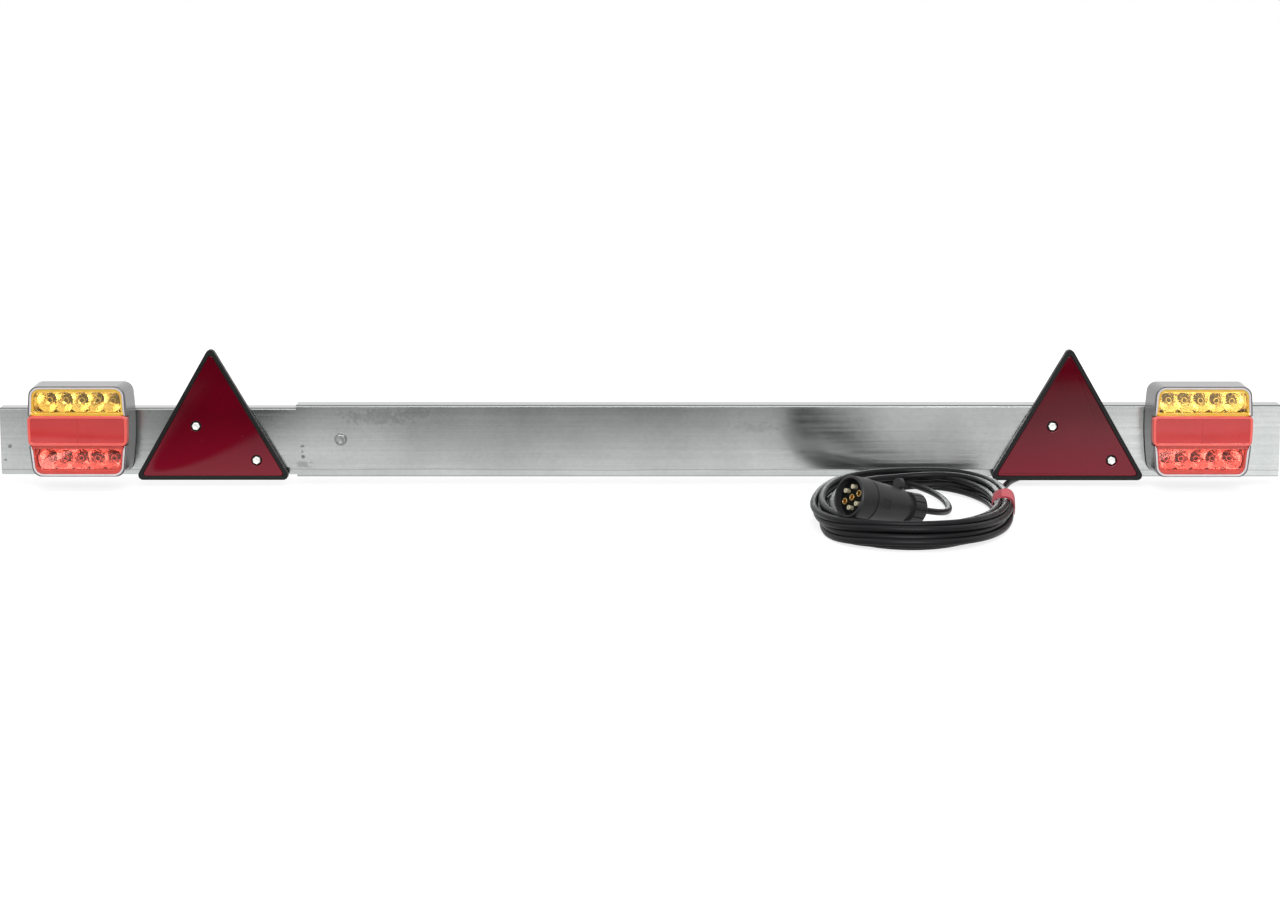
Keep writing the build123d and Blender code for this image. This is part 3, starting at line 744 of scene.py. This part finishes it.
def plugFrame():
    heading = math.radians(plugSpec["heading"])
    drop = math.tan(math.radians(plugSpec["dip"]))
    back = Vector((math.cos(heading), math.sin(heading), -drop)).normalized()
    side = Vector((-math.sin(heading), math.cos(heading), 0))
    turn = Matrix((side, back.cross(side), back)).transposed().to_4x4()
    return Matrix.Translation(cordPoint(*plugSpec["nose"])) @ turn


plugPieces = {
    "plug_shell": ("plugBlack", "plug_black", "board", 0.7),
    "plug_gland_nut": ("plugBlack", "plug_black", "board", 0.6),
    "plug_insert": ("insertShadeBlack", "plug_black", "board", 0.3),
    "plug_pins": ("tinnedPins", "contact_brass", "board", 0.4),
    "plug_sleeves": ("turnedBrass", "contact_brass", "board", 0.25),
}


def makePlug():
    return [softCopy(node, *look) for node, look in plugPieces.items()]


# Strap round the coil's right-hand side, with its loose end hanging outside

strapSpec = {
    "bundle": (9.7, 11.3),  # half the width and height inside the strap
    "up": 12.3,
    "across": 87.2,  # from the coil's middle
    "wide": 21.0,
    "corner": 8.0,
    "thick": 1.0,
    "slope": 5.0,  # its top stands this much higher at the back
    "swell": (1.03, 1.0, 0.99, 0.98),  # it lies a little loose at its edges
    "flap": [(-2, 12.4), (2.4, 12.6), (6, 12.2), (9.4, 9.4), (10.9, 4.5), (11.1, -1.0), (10.9, -6.0)],
    "tail": [(7.4, 8.0), (8.4, 4.0), (8.7, -1.0), (8.2, -6.0), (6.4, -10.0)],  # inside the loop
    "flapWide": 20.0,
}


def strapFrame():  # X outwards, Y up, Z along the turns
    lean = math.radians(cableSpec["coilTurn"])
    out = Vector((math.cos(lean), -math.sin(lean), 0))
    along = Vector((-math.sin(lean), -math.cos(lean), 0))
    middle = cordPoint(*cableSpec["coilMiddle"], strapSpec["up"])
    turn = Matrix((out, Vector((0, 0, 1)), along)).transposed().to_4x4()
    return Matrix.Translation(middle + out * strapSpec["across"] * mm) @ turn


def slopeStrap(wide, steps):  # raise the upper half towards the back, then close the edit
    for step in range(steps):
        along = (step / steps - 0.5) * wide * mm
        pick("VERT", lambda vert: vert.co.y > 3 * mm and abs(vert.co.z - along) < 0.5 * mm)
        shift(0, strapSpec["slope"] * (1 - step / steps), 0)
    faceOutwards()
    objectMode()


def makeStrip(path, wide, finish):  # cloth strip along (out, up) points, open until it gets its thickness
    strip = startPoint("strip")
    x, y = path[0]
    shift(x, y, -wide / 2)
    for half in range(2):
        extrude(0, 0, wide / 2)
    selectAll()
    for nextX, nextY in path[1:]:
        extrude(nextX - x, nextY - y, 0)
        x, y = nextX, nextY
    slopeStrap(wide, 2)
    wear(strip, finishes[finish])
    return strip


def makeStrap():
    spec = strapSpec
    loop = startPlane("cableStrap")
    resize(*spec["bundle"], 1)
    bpy.ops.mesh.bevel(offset=spec["corner"] * mm, segments=5, affect="VERTICES")
    selectAll()
    bpy.ops.mesh.delete(type="ONLY_FACE")
    selectAll()
    shift(0, 0, -spec["wide"] / 2)
    for swell in spec["swell"]:
        extrude(0, 0, spec["wide"] / len(spec["swell"]))
        resize(swell, swell, 1, center_override=(0, 0, 0))
    slopeStrap(spec["wide"], len(spec["swell"]))
    wear(loop, finishes["strapLoops"])
    flap = makeStrip(spec["flap"], spec["flapWide"], "strapBack")
    tail = makeStrip(spec["tail"], spec["flapWide"], "strapLoops")
    for strip in (loop, flap, tail):
        addModifier(strip, "SOLIDIFY", "cloth", thickness=spec["thick"] * mm, offset=1.0)
        addModifier(strip, "SUBSURF", "round", levels=1, render_levels=1)
        applyModifiers(strip)
    strap = moved(joined([loop, flap, tail], "cableStrap"), strapFrame())
    smoothByAngle(strap, 50)
    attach(strap, "board")
    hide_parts("cable_tie")
    return strap


def makeCable():
    spec = cableSpec
    curve = bpy.data.curves.new("cable", "CURVE")
    curve.dimensions = "3D"
    points = cordRoute()
    spline = curve.splines.new("NURBS")
    spline.points.add(len(points) - 1)
    for point, place in zip(spline.points, points):
        point.co = (*place, 1)
    spline.order_u = 3
    spline.use_endpoint_u = True
    spline.resolution_u = 6
    curve.bevel_depth = spec["diameter"] / 2 * mm
    curve.bevel_resolution = 5
    curve.use_fill_caps = True
    cable = bpy.data.objects.new("cable", curve)
    show(cable)
    curve.materials.append(finishes["cableBlack"])
    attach(cable, "board")
    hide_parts("cable_lead", "cable_coil", "cable_tail")
    makePlug() + [makeStrap()]


makeCable()
print("cable laid")


# Lamps: one of each piece is modelled lying on its back, then copied to both ends

lampSpec = {
    "width": 101.5,
    "height": 93.5,
    "topIn": 2.5,  # how far the flanks draw in at the top and bottom
    "bottomIn": 4.5,
    "corner": 10.0,
    "front": 42.0,  # housing front, ahead of the web
    "lensInset": 2.35,
    "amber": (63.15, 91.15),
    "red": (2.35, 32.05),
    "frameWide": 3.0,
    "foot": {"amber": 1.2, "red": 1.9},  # the frames are wider at the bottom
    "recess": 6.0,
    "lensDeep": 8.8,
    "lensWall": 1.4,
    "lensCorner": 0.8,  # where a lens meets the band
    "lensEdge": 0.7,
    "band": (32.2, 63.0),
    "bandOut": 0.1,  # it stands out at the flanks
    "bandProud": 1.5,
    "bandBack": 32.0,
    "bandCorner": 4.6,
    "bandFrame": 2.6,
    "bandRecess": 0.6,
    "bandWall": 2.0,
    "bandEdge": 0.8,
    "rib": (1.2, 5.0, 0.5),  # its width, how much shorter than the band it is, and its thickness
    "bezel": (0.9, 2.8),  # pale ring, outer and inner distance from the lamp's edge
    "joint": 0.6,  # dark line round the ring
    "bezelProud": 0.7,
    "bezelSunk": 0.2,
    "bezelGap": 0.1,  # between the ring's ends and the band
    "bezelEdge": 0.35,
    "cupPitch": 16.4,
    "cupCount": 5,
    "cupBack": 18.5,
    "cupRim": 28.0,
    "cupWall": 0.7,
    "trayFront": 34.0,
    "cupThroat": 3.0,
    "cupFocus": 3.0,
    "cellHigh": {"amber": 11.0, "red": 11.5},
    "endCell": 12.6,
    "row": {"amber": 75.4, "red": 16.0},
    "diodeSeat": 16.5,
    "diode": [(0, 0), (2.35, 0), (2.4, 0.2), (2.4, 2.4), (2.25, 3.2), (1.8, 4.0), (1.0, 4.7), (0.4, 4.95),
              (0, 5.0)],  # radius and height
}


def lampHalf(height):  # half the lamp's width at a height
    spec = lampSpec
    along = 2 * height / spec["height"] - 1
    bow = (spec["topIn"] + spec["bottomIn"]) / 2
    lean = (spec["bottomIn"] - spec["topIn"]) / 2
    return spec["width"] / 2 + lean * along - bow * along * along


def lampFace(name, edge, low, high, topCorner, bottomCorner):  # flat field of the front, left in edit mode
    piece = startPlane(name)
    resize(1, (high - low) / 2, 1)
    shift(0, (high + low) / 2, 0)
    pick("EDGE", lambda item: abs(item.verts[0].co.x - item.verts[1].co.x) < 0.1 * mm)
    bpy.ops.mesh.subdivide(number_cuts=1)
    for height in (low, (low + high) / 2, high):
        pick("VERT", lambda vert: abs(vert.co.y - height * mm) < 0.1 * mm)
        resize(lampHalf(height) - edge, 1, 1)
    selectAll()
    bpy.ops.mesh.dissolve_faces(use_verts=False)
    for height, corner in ((low, bottomCorner), (high, topCorner)):
        pick("VERT", lambda vert: abs(vert.co.y - height * mm) < 0.1 * mm)
        bpy.ops.mesh.bevel(offset=corner * mm, offset_type="OFFSET", segments=6, affect="VERTICES")
    faceFront(piece)
    return piece


def faceFront(piece):  # an open shell shows its outside to the front
    faceOutwards()
    mesh = bmesh.from_edit_mesh(piece.data)
    mesh.normal_update()
    if sum(face.normal.z * face.calc_area() for face in mesh.faces) < 0:
        bpy.ops.mesh.flip_normals()


def lift(height):  # raise all of the piece in edit mode
    selectAll()
    shift(0, 0, height)


def pullRim(depth):  # walls from the open edge backwards
    pick("EDGE", lambda edge: edge.is_boundary)
    extrude(0, 0, -depth)


def paintSelected(piece, slotIndex):
    piece.active_material_index = slotIndex
    bpy.ops.object.material_slot_assign()


def finishShell(piece, wall, edge):  # soft edges, then a wall behind the skin
    objectMode()
    softenEdges(piece, edge, 2, 40)
    if wall:
        addModifier(piece, "SOLIDIFY", "wall", thickness=wall * mm, offset=-1.0)
    applyModifiers(piece)
    smoothByAngle(piece, 40)


def inWindow(place, foot, edge):  # on or inside a lens's window outline
    return place.y > (foot - 0.1) * mm and abs(place.x) < (lampHalf(place.y / mm) - edge + 0.2) * mm


def makeLens(color):
    spec = lampSpec
    low, high = spec[color]
    corner = spec["corner"] - spec["lensInset"]
    corners = (corner, spec["lensCorner"]) if color == "amber" else (spec["lensCorner"], corner)
    lens = lampFace(color + "Lens", spec["lensInset"], low, high, *corners)
    wear(lens, finishes[color + "Frame"], finishes[color + "Window"])
    lift(spec["front"])
    inset(spec["frameWide"])
    extrude(0, 0, -spec["recess"])
    paintSelected(lens, 1)
    foot = low + spec["frameWide"]
    edge = spec["lensInset"] + spec["frameWide"]
    middle = (low + high) / 2 * mm
    pick("VERT", lambda vert: vert.co.y < middle and inWindow(vert.co, foot, edge))
    shift(0, spec["foot"][color], 0)
    pullRim(spec["lensDeep"])
    faceFront(lens)
    finishShell(lens, spec["lensWall"], spec["lensEdge"])
    return lens


def makeBezel(color):  # pale U-shaped rim round one lens
    spec = lampSpec
    outer, inner = spec["bezel"]
    edge = outer - spec["joint"]
    corner = spec["corner"] - edge
    full = lampFace(color + "Bezel", edge, edge, spec["height"] - edge, corner, corner)
    wear(full, finishes["blackRubber"], finishes["bezelPale"])
    lift(spec["front"] - spec["bezelSunk"])
    inset(spec["joint"])
    paintSelected(full, 1)
    inset(inner - outer)
    bpy.ops.mesh.delete(type="FACE")
    low, high = spec["band"]
    isAmber = color == "amber"
    end = high + spec["bezelGap"] if isAmber else low - spec["bezelGap"]
    selectAll()
    bpy.ops.mesh.bisect(plane_co=(0, end * mm, 0), plane_no=(0, 1, 0),
                        clear_inner=isAmber, clear_outer=not isAmber)
    selectAll()
    extrude(0, 0, spec["bezelProud"] + spec["bezelSunk"])
    faceOutwards()
    finishShell(full, 0, spec["bezelEdge"])
    return full


def makeBand():
    spec = lampSpec
    low, high = spec["band"]
    band = lampFace("reflexBand", -spec["bandOut"], low, high, spec["bandCorner"], spec["bandCorner"])
    wear(band, finishes["reflexFrame"], finishes["reflexField"])
    front = spec["front"] + spec["bandProud"]
    lift(front)
    inset(spec["bandFrame"])
    extrude(0, 0, -spec["bandRecess"])
    paintSelected(band, 1)
    pullRim(front - spec["bandBack"])
    faceFront(band)
    finishShell(band, spec["bandWall"], spec["bandEdge"])
    wide, short, thick = spec["rib"]
    deselectAll()
    bpy.ops.mesh.primitive_cube_add(size=1, location=(0, (low + high) / 2 * mm, (front - thick) * mm))
    rib = bpy.context.object
    rib.scale = (wide * mm, (high - low - short) * mm, thick * mm)
    applyPlace()
    softenEdges(rib, 0.25, 2, 30)
    applyModifiers(rib)
    wear(rib, finishes["reflexField"])
    return joined([band, rib], "reflexBand")


def cupAcross(index):
    return (index - (lampSpec["cupCount"] - 1) / 2) * lampSpec["cupPitch"]


def makeCups(color):  # paraboloid cups that meet in ridges, each with a small flat back that its diode stands through
    spec = lampSpec
    back, rim, throat, focus = spec["cupBack"], spec["cupRim"], spec["cupThroat"], spec["cupFocus"]
    high = spec["cellHigh"][color]
    last = spec["cupCount"] - 1
    mouth = math.sqrt(throat * throat + 4 * focus * (rim - back))
    rings = [throat + (mouth - throat) * step / 6 for step in range(7)]
    profile = [(radius, back + (radius * radius - throat * throat) / (4 * focus)) for radius in rings]
    bowl = turned("cup", [(0, back)] + profile + [(2 * mouth, rim)], 24)
    cells = []
    for index in range(last + 1):
        cell = copied(bowl, "cup%d" % index)
        left = spec["endCell"] if index == 0 else spec["cupPitch"] / 2
        right = spec["endCell"] if index == last else spec["cupPitch"] / 2
        editMode(cell)
        for reach, normal in ((left, (-1, 0, 0)), (right, (1, 0, 0)), (high, (0, -1, 0)), (high, (0, 1, 0))):
            selectAll()
            bpy.ops.mesh.bisect(plane_co=Vector(normal) * reach * mm, plane_no=normal, clear_outer=True)
        objectMode()
        cells.append(moved(cell, Matrix.Translation((cupAcross(index) * mm, 0, 0))))
    bpy.data.objects.remove(bowl)
    tray = joined(cells, color + "Cups")
    editMode(tray)
    mergeClose(0.05)
    side = cupAcross(last) + spec["endCell"]

    def onBorder(edge):
        middle = (edge.verts[0].co + edge.verts[1].co) / 2
        atSide = abs(abs(middle.y) - high * mm) < 0.05 * mm or abs(abs(middle.x) - side * mm) < 0.05 * mm
        return edge.is_boundary and atSide

    pick("EDGE", onBorder)
    extrude(0, 0, 0)
    resize(1, 1, 0, center_override=(0, 0, spec["trayFront"] * mm))
    mergeClose(0.02)
    faceFront(tray)
    objectMode()
    addModifier(tray, "SOLIDIFY", "wall", thickness=spec["cupWall"] * mm, offset=-1.0)
    applyModifiers(tray)
    wear(tray, finishes["metallisedCups"])
    return moved(tray, Matrix.Translation((0, spec["row"][color] * mm, 0)))


def makeDiodes(color):  # round diodes with domed tops
    spec = lampSpec
    diode = turned("diode", [(radius, spec["diodeSeat"] + height) for radius, height in spec["diode"]], 16)
    smoothByAngle(diode, 40)
    wear(diode, finishes["shadedDiode"])
    row = []
    for index in range(spec["cupCount"]):
        place = Matrix.Translation((cupAcross(index) * mm, spec["row"][color] * mm, 0))
        row.append(copied(diode, "diode%d" % index, place))
    bpy.data.objects.remove(diode)
    return joined(row, color + "Diodes")


def seatOn(node, side):  # foot of a piece that stands on the web
    low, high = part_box(node)
    return Matrix.Translation(((low.x + high.x) / 2, sideWebY[side], low.z)) @ upright


def setLamps():
    masters = {
        "AmberLens": (makeLens("amber"), "amber_lens", "amber_lens"),
        "RedLens": (makeLens("red"), "red_lens", "red_lens"),
        "ReflexBand": (makeBand(), "reflex_red", "reflex_band"),
        "AmberBezel": (makeBezel("amber"), "lamp_grey", None),
        "RedBezel": (makeBezel("red"), "lamp_grey", None),
        "AmberCups": (makeCups("amber"), "metallised_cups", "amber_reflector"),
        "RedCups": (makeCups("red"), "metallised_cups", "red_reflector"),
        "AmberDiodes": (makeDiodes("amber"), "led_clear", "amber_leds"),
        "RedDiodes": (makeDiodes("red"), "led_clear", "red_leds"),
    }
    for side in ("left", "right"):
        seat = seatOn(side + "_lamp_housing", side)
        for name, (master, slotName, node) in masters.items():
            piece = copied(master, side + name, seat)
            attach(piece, sideBody[side])
            if node:
                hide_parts(side + "_" + node)
    for master, slotName, node in masters.values():
        bpy.data.objects.remove(master)


setLamps()
print("lamps set")


# Triangles: softened solids, with their bolts modelled once

boltSpec = {
    "head": 7.2,  # across flats
    "headHigh": 3.5,
    "shank": 2.5,
    "pitch": 0.8,
    "tip": -9.5,  # behind the web
    "sheet": 1.5,
    "triangleSeat": 7.5,  # under the head, ahead of the web
    "lampSeat": 4.2,
    "triangleSide": 162.7,
    "alongBisector": (41.5, 113.0),  # both bolts, from the triangle's lower right corner
    "lampSpots": ((-30.0, 30.0), (30.0, 30.0)),
    "turns": (8, 24),  # degrees
    "corner": 0.11,  # share of the head's width
    "dish": ((0.1, 0.15), (0.14, -0.35)),  # a raised rim, then a dish: share of the width, rise
    "chamfer": 0.6,
    "thread": 0.4,  # how deep it is cut
}
sizeKeys = ("head", "headHigh", "shank", "pitch", "tip")


def makeBolt(name, spec, seat):  # head up, thread down, round Z
    across, headHigh, shank, pitch, tip = [spec[key] for key in sizeKeys]
    deselectAll()
    bpy.ops.mesh.primitive_cylinder_add(vertices=6, radius=across / 2 / math.cos(math.radians(30)) * mm,
                                        depth=headHigh * mm, location=(0, 0, (seat + headHigh / 2) * mm))
    head = bpy.context.object
    applyPlace()
    bpy.ops.object.mode_set(mode="EDIT")
    top = (seat + headHigh) * mm
    pick("VERT", lambda vert: vert.co.z > top - 0.1 * mm)
    bpy.ops.mesh.bevel(offset=boltSpec["corner"] * across * mm, segments=2, affect="VERTICES")
    pick("FACE", lambda face: face.normal.z > 0.99 and face.calc_center_median().z > top - 0.1 * mm)
    for share, rise in boltSpec["dish"]:
        inset(share * across)
        shift(0, 0, rise)
    objectMode()
    softenEdges(head, 0.25, 2, 30)
    applyModifiers(head)
    chamfer, depth = boltSpec["chamfer"], boltSpec["thread"]
    profile = [(0, tip), (shank - chamfer, tip), (shank - 0.1, tip + chamfer)]
    height = tip + chamfer
    while height < -boltSpec["sheet"]:
        profile += [(shank - depth, height + 0.4 * pitch), (shank, height + 0.8 * pitch)]
        height += pitch
    profile += [(shank - 0.1, height), (shank - 0.1, seat + 0.2), (0, seat + 0.2)]
    bolt = joined([head, turned("shank", profile, 16)], name)
    smoothByAngle(bolt, 30)
    wear(bolt, finishes["boltZinc"])
    return bolt


def triangleBoltSpots():
    corner = boltSpec["triangleSide"] / 2
    slant = math.radians(30)
    across, up = math.cos(slant), math.sin(slant)
    return [(corner - reach * across, reach * up) for reach in boltSpec["alongBisector"]]


def boltGroup(name, master, spots, seat):
    group = []
    for (x, y), turn in zip(spots, boltSpec["turns"]):
        place = Matrix.Translation((x * mm, y * mm, 0)) @ Matrix.Rotation(math.radians(turn), 4, "Z")
        group.append(copied(master, name + "Part", seat @ place))
    return joined(group, name)


def setTriangles():
    masters = {}
    for kind in ("triangle", "lamp"):
        masters[kind] = makeBolt(kind + "Bolt", boltSpec, boltSpec[kind + "Seat"])
    spots = {"triangle": triangleBoltSpots(), "lamp": boltSpec["lampSpots"]}
    for side, body in sideBody.items():
        softCopy(side + "_triangle_frame", "frameBlack", "frame_black", body, 0.9, 3)
        softCopy(side + "_triangle_lens", "triangleRed", "triangle_red", body, 0.9)
        softCopy(side + "_web_washers", "zincPlate", "zinc_fastener", body, 0.2)
        softCopy(side + "_web_nuts", "boltZinc", "zinc_fastener", body, 0.5)
        for kind, carrier in (("triangle", "_triangle_frame"), ("lamp", "_lamp_housing")):
            seat = seatOn(side + carrier, side)
            bolts = boltGroup(side + kind.capitalize() + "Bolts", masters[kind], spots[kind], seat)
            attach(bolts, body)
            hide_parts(side + "_" + kind + "_bolts")
    for master in masters.values():
        bpy.data.objects.remove(master)


setTriangles()
print("triangles set")


# Clamp: the bolt that locks the sliding channel

clampSpec = {
    "head": 10.0,
    "headHigh": 4.0,
    "shank": 3.0,
    "seat": 1.2,
    "tip": -12.85,
    "pitch": 1.0,
    "turn": 19.0,
}


def setClamp():
    low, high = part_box("clamp_bolt")
    middle = (low + high) / 2
    seat = Matrix.Translation((middle.x, webY, middle.z)) @ upright
    bolt = makeBolt("clampBolt", clampSpec, clampSpec["seat"])
    moved(bolt, seat @ Matrix.Rotation(math.radians(clampSpec["turn"]), 4, "Z"))
    wear(bolt, finishes["clampZinc"])
    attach(bolt, "board")
    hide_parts("clamp_bolt")
    softCopy("clamp_washers", "clampZinc", "zinc_fastener", "board", 0.25)
    softCopy("clamp_nut", "zincPlate", "zinc_fastener", "board", 0.6)


setClamp()
print("clamp set")


# Stage, light and camera

stageSpec = {
    "floorSize": 14.0,
    "floorBelow": 0.1 * mm,
    "paper": 0.32,  # what the floor gives back to the object
    "floorGlow": 0.79,  # lifts the seen floor to white, its shadows stay
    "glowFar": (0.3, 0.9),  # it is all white behind the board
    "pool": (0.05, 0.55),  # ahead of the board, the floor that reflections see darkens from here to here
    "poolDark": 0.25,
    "poolRight": 0.6,  # it stays light further ahead towards the right
    "poolLeft": (0.6, 1.6),  # and past the left-hand end
    "rightEnd": (0.42, 0.64),  # and lighter at the right-hand end
    "rightLevel": 1.4,
    "farLight": (1.0, 1.25, 2.8),  # far ahead on the right it is light again: from, full, end
    "farLevel": (0.88, 0.58),
    "farRight": (0.0, 0.15),
    "edgeFrom": (-0.516, 0.092),  # its sharp edge bends away from this spot
    "edgeBend": 46.0,
    "edgeLeft": 2.5,  # and turns away faster on its left
    "edgeFar": 0.78,
    "edgeSoft": 0.012,
    "pastEdge": 0.14,
    "lightSpot": (-0.35, 0.1, 0.17),  # a lighter spot: its place along the board, half width and lift
    "lensSides": (0.62, 0.8),  # through the lenses the floor looks dark past both ends
    "lensDark": 0.12,
    "worldLevel": 0.55,
    "card": (3.2, -1.6, 0.3),  # middle of the dark card on the right
    "cardSize": (0.8, 4.0, 1),
    "cardDark": 0.03,
    "camera": (0.0, -2.91675, 0.44565),
    "pitch": 9.38,
    "focal": 2856.0,  # in photo pixels
    "frameWide": 1280,
    "sensor": 36,
}
softboxes = {  # place, size, power, and whether reflections see it
    "topSoftbox": ((0.2, -0.5, 2.4), (3.2, 1.8), 24, False),
    "frontSoftbox": ((0.1, -3.4, 1.5), (2.4, 1.2), 102, True),
}


def rayKinds(tree):
    rays = addNode(tree, "LightPath").outputs
    return rays["Is Camera Ray"], rays["Is Glossy Ray"], rays["Is Transmission Ray"]


def reflectedPool(x, ahead):  # how light the floor looks in reflections
    spec = stageSpec
    leftStart, leftLift = spec["poolLeft"]
    beyond = calc("MAXIMUM", minus(times(x, -1.0), leftStart), 0.0)
    push = plus(times(calc("MAXIMUM", x, 0.0), spec["poolRight"]), times(beyond, leftLift))
    spotPlace, spotHalf, spotLift = spec["lightSpot"]
    fromSpot = calc("ABSOLUTE", minus(x, spotPlace))
    push = plus(push, remap(fromSpot, 0.0, spotHalf, spotLift, 0.0))
    slide = remap(minus(ahead, push), *spec["pool"], 1.0, spec["poolDark"])
    off = minus(x, spec["edgeFrom"][0])
    aside = calc("MAXIMUM", off, times(off, -spec["edgeLeft"]))
    bend = times(times(aside, aside), spec["edgeBend"])
    edge = calc("MINIMUM", plus(bend, spec["edgeFrom"][1]), spec["edgeFar"])
    step = remap(minus(ahead, edge), -spec["edgeSoft"], spec["edgeSoft"], 1.0, spec["pastEdge"])
    rightEnd = remap(x, *spec["rightEnd"], 1.0, spec["rightLevel"])
    pool = times(times(slide, step), rightEnd)
    farFrom, farFull, farEnd = spec["farLight"]
    far = remap(ahead, farFull, farEnd, *spec["farLevel"])
    far = times(far, remap(ahead, farFrom, farFull))
    far = times(far, remap(x, *spec["farRight"]))
    return calc("MAXIMUM", pool, far)


def makeFloor():
    spec = stageSpec
    deselectAll()
    bpy.ops.mesh.primitive_plane_add(size=spec["floorSize"], location=(0, 0, floorZ - spec["floorBelow"]))
    floor = bpy.context.object
    floor.name = "floor"
    material = bpy.data.materials.new("paleFloor")
    material.use_nodes = True
    tree = material.node_tree
    tree.nodes.clear()
    camera, glossy, through = rayKinds(tree)
    x, y = axes(objectPlace(tree))[:2]
    level = times(camera, remap(y, *spec["glowFar"], spec["floorGlow"], 1.0))
    level = plus(level, times(glossy, reflectedPool(x, times(y, -1.0))))
    sides = remap(calc("ABSOLUTE", x), *spec["lensSides"], 1.0, spec["lensDark"])
    level = plus(level, times(through, sides))
    plain = minus(1.0, calc("MAXIMUM", glossy, through))
    paper = addNode(tree, "BsdfDiffuse")
    glow = addNode(tree, "Emission")
    both = addNode(tree, "AddShader")
    out = addNode(tree, "OutputMaterial")
    link(mixColor(times(plain, spec["paper"]), (0.0, 0.0, 0.0), (1.0, 1.0, 1.0)), paper.inputs["Color"])
    link(level, glow.inputs["Strength"])
    link(paper.outputs[0], both.inputs[0])
    link(glow.outputs[0], both.inputs[1])
    link(both.outputs[0], out.inputs["Surface"])
    wear(floor, material)


def makeWorld():
    world = bpy.data.worlds.new("paleRoom")
    bpy.context.scene.world = world
    world.use_nodes = True
    camera, glossy, through = rayKinds(world.node_tree)
    seen = calc("MAXIMUM", camera, calc("MAXIMUM", glossy, through))
    background = world.node_tree.nodes["Background"].inputs
    link(remap(seen, 0, 1, stageSpec["worldLevel"], 1.0), background["Strength"])
    background["Color"].default_value = (1, 1, 1, 1)


def makeFlags():  # dark cards at both sides, seen only in reflections and through the lenses
    spec = stageSpec
    x, y, z = spec["card"]
    for name, place in (("darkCardLeft", (-x, y, z)), ("darkCardRight", (x, y, z))):
        deselectAll()
        bpy.ops.mesh.primitive_plane_add(size=1, location=place, rotation=(0, math.radians(90), 0))
        flag = bpy.context.object
        flag.name = name
        flag.scale = spec["cardSize"]
        applyPlace()
        dark = (*[spec["cardDark"]] * 3, 1)
        wear(flag, startMaterial("darkCard", {"Roughness": 1.0, "Base Color": dark})[0])
        flag.visible_camera = False
        flag.visible_diffuse = False
        flag.visible_shadow = False


def addSoftbox(name, place, size, power, mirrored):  # aimed at the middle of the board
    lamp = bpy.data.lights.new(name, "AREA")
    lamp.shape = "RECTANGLE"
    lamp.size, lamp.size_y = size
    lamp.energy = power
    box = bpy.data.objects.new(name, lamp)
    show(box)
    box.location = place
    box.rotation_euler = (-Vector(place)).to_track_quat("-Z", "Y").to_euler()
    box.visible_glossy = mirrored


def makeCamera():
    spec = stageSpec
    data = bpy.data.cameras.new("photoCamera")
    camera = bpy.data.objects.new("photoCamera", data)
    show(camera)
    camera.location = spec["camera"]
    camera.rotation_euler = (math.radians(90 - spec["pitch"]), 0, 0)
    data.sensor_width = spec["sensor"]
    data.lens = spec["focal"] / spec["frameWide"] * spec["sensor"]
    data.clip_end = 100
    bpy.context.scene.camera = camera


makeFloor()
makeWorld()
makeFlags()
for name, look in softboxes.items():
    addSoftbox(name, *look)
makeCamera()
bpy.context.scene.view_settings.view_transform = "Standard"
print("stage set")
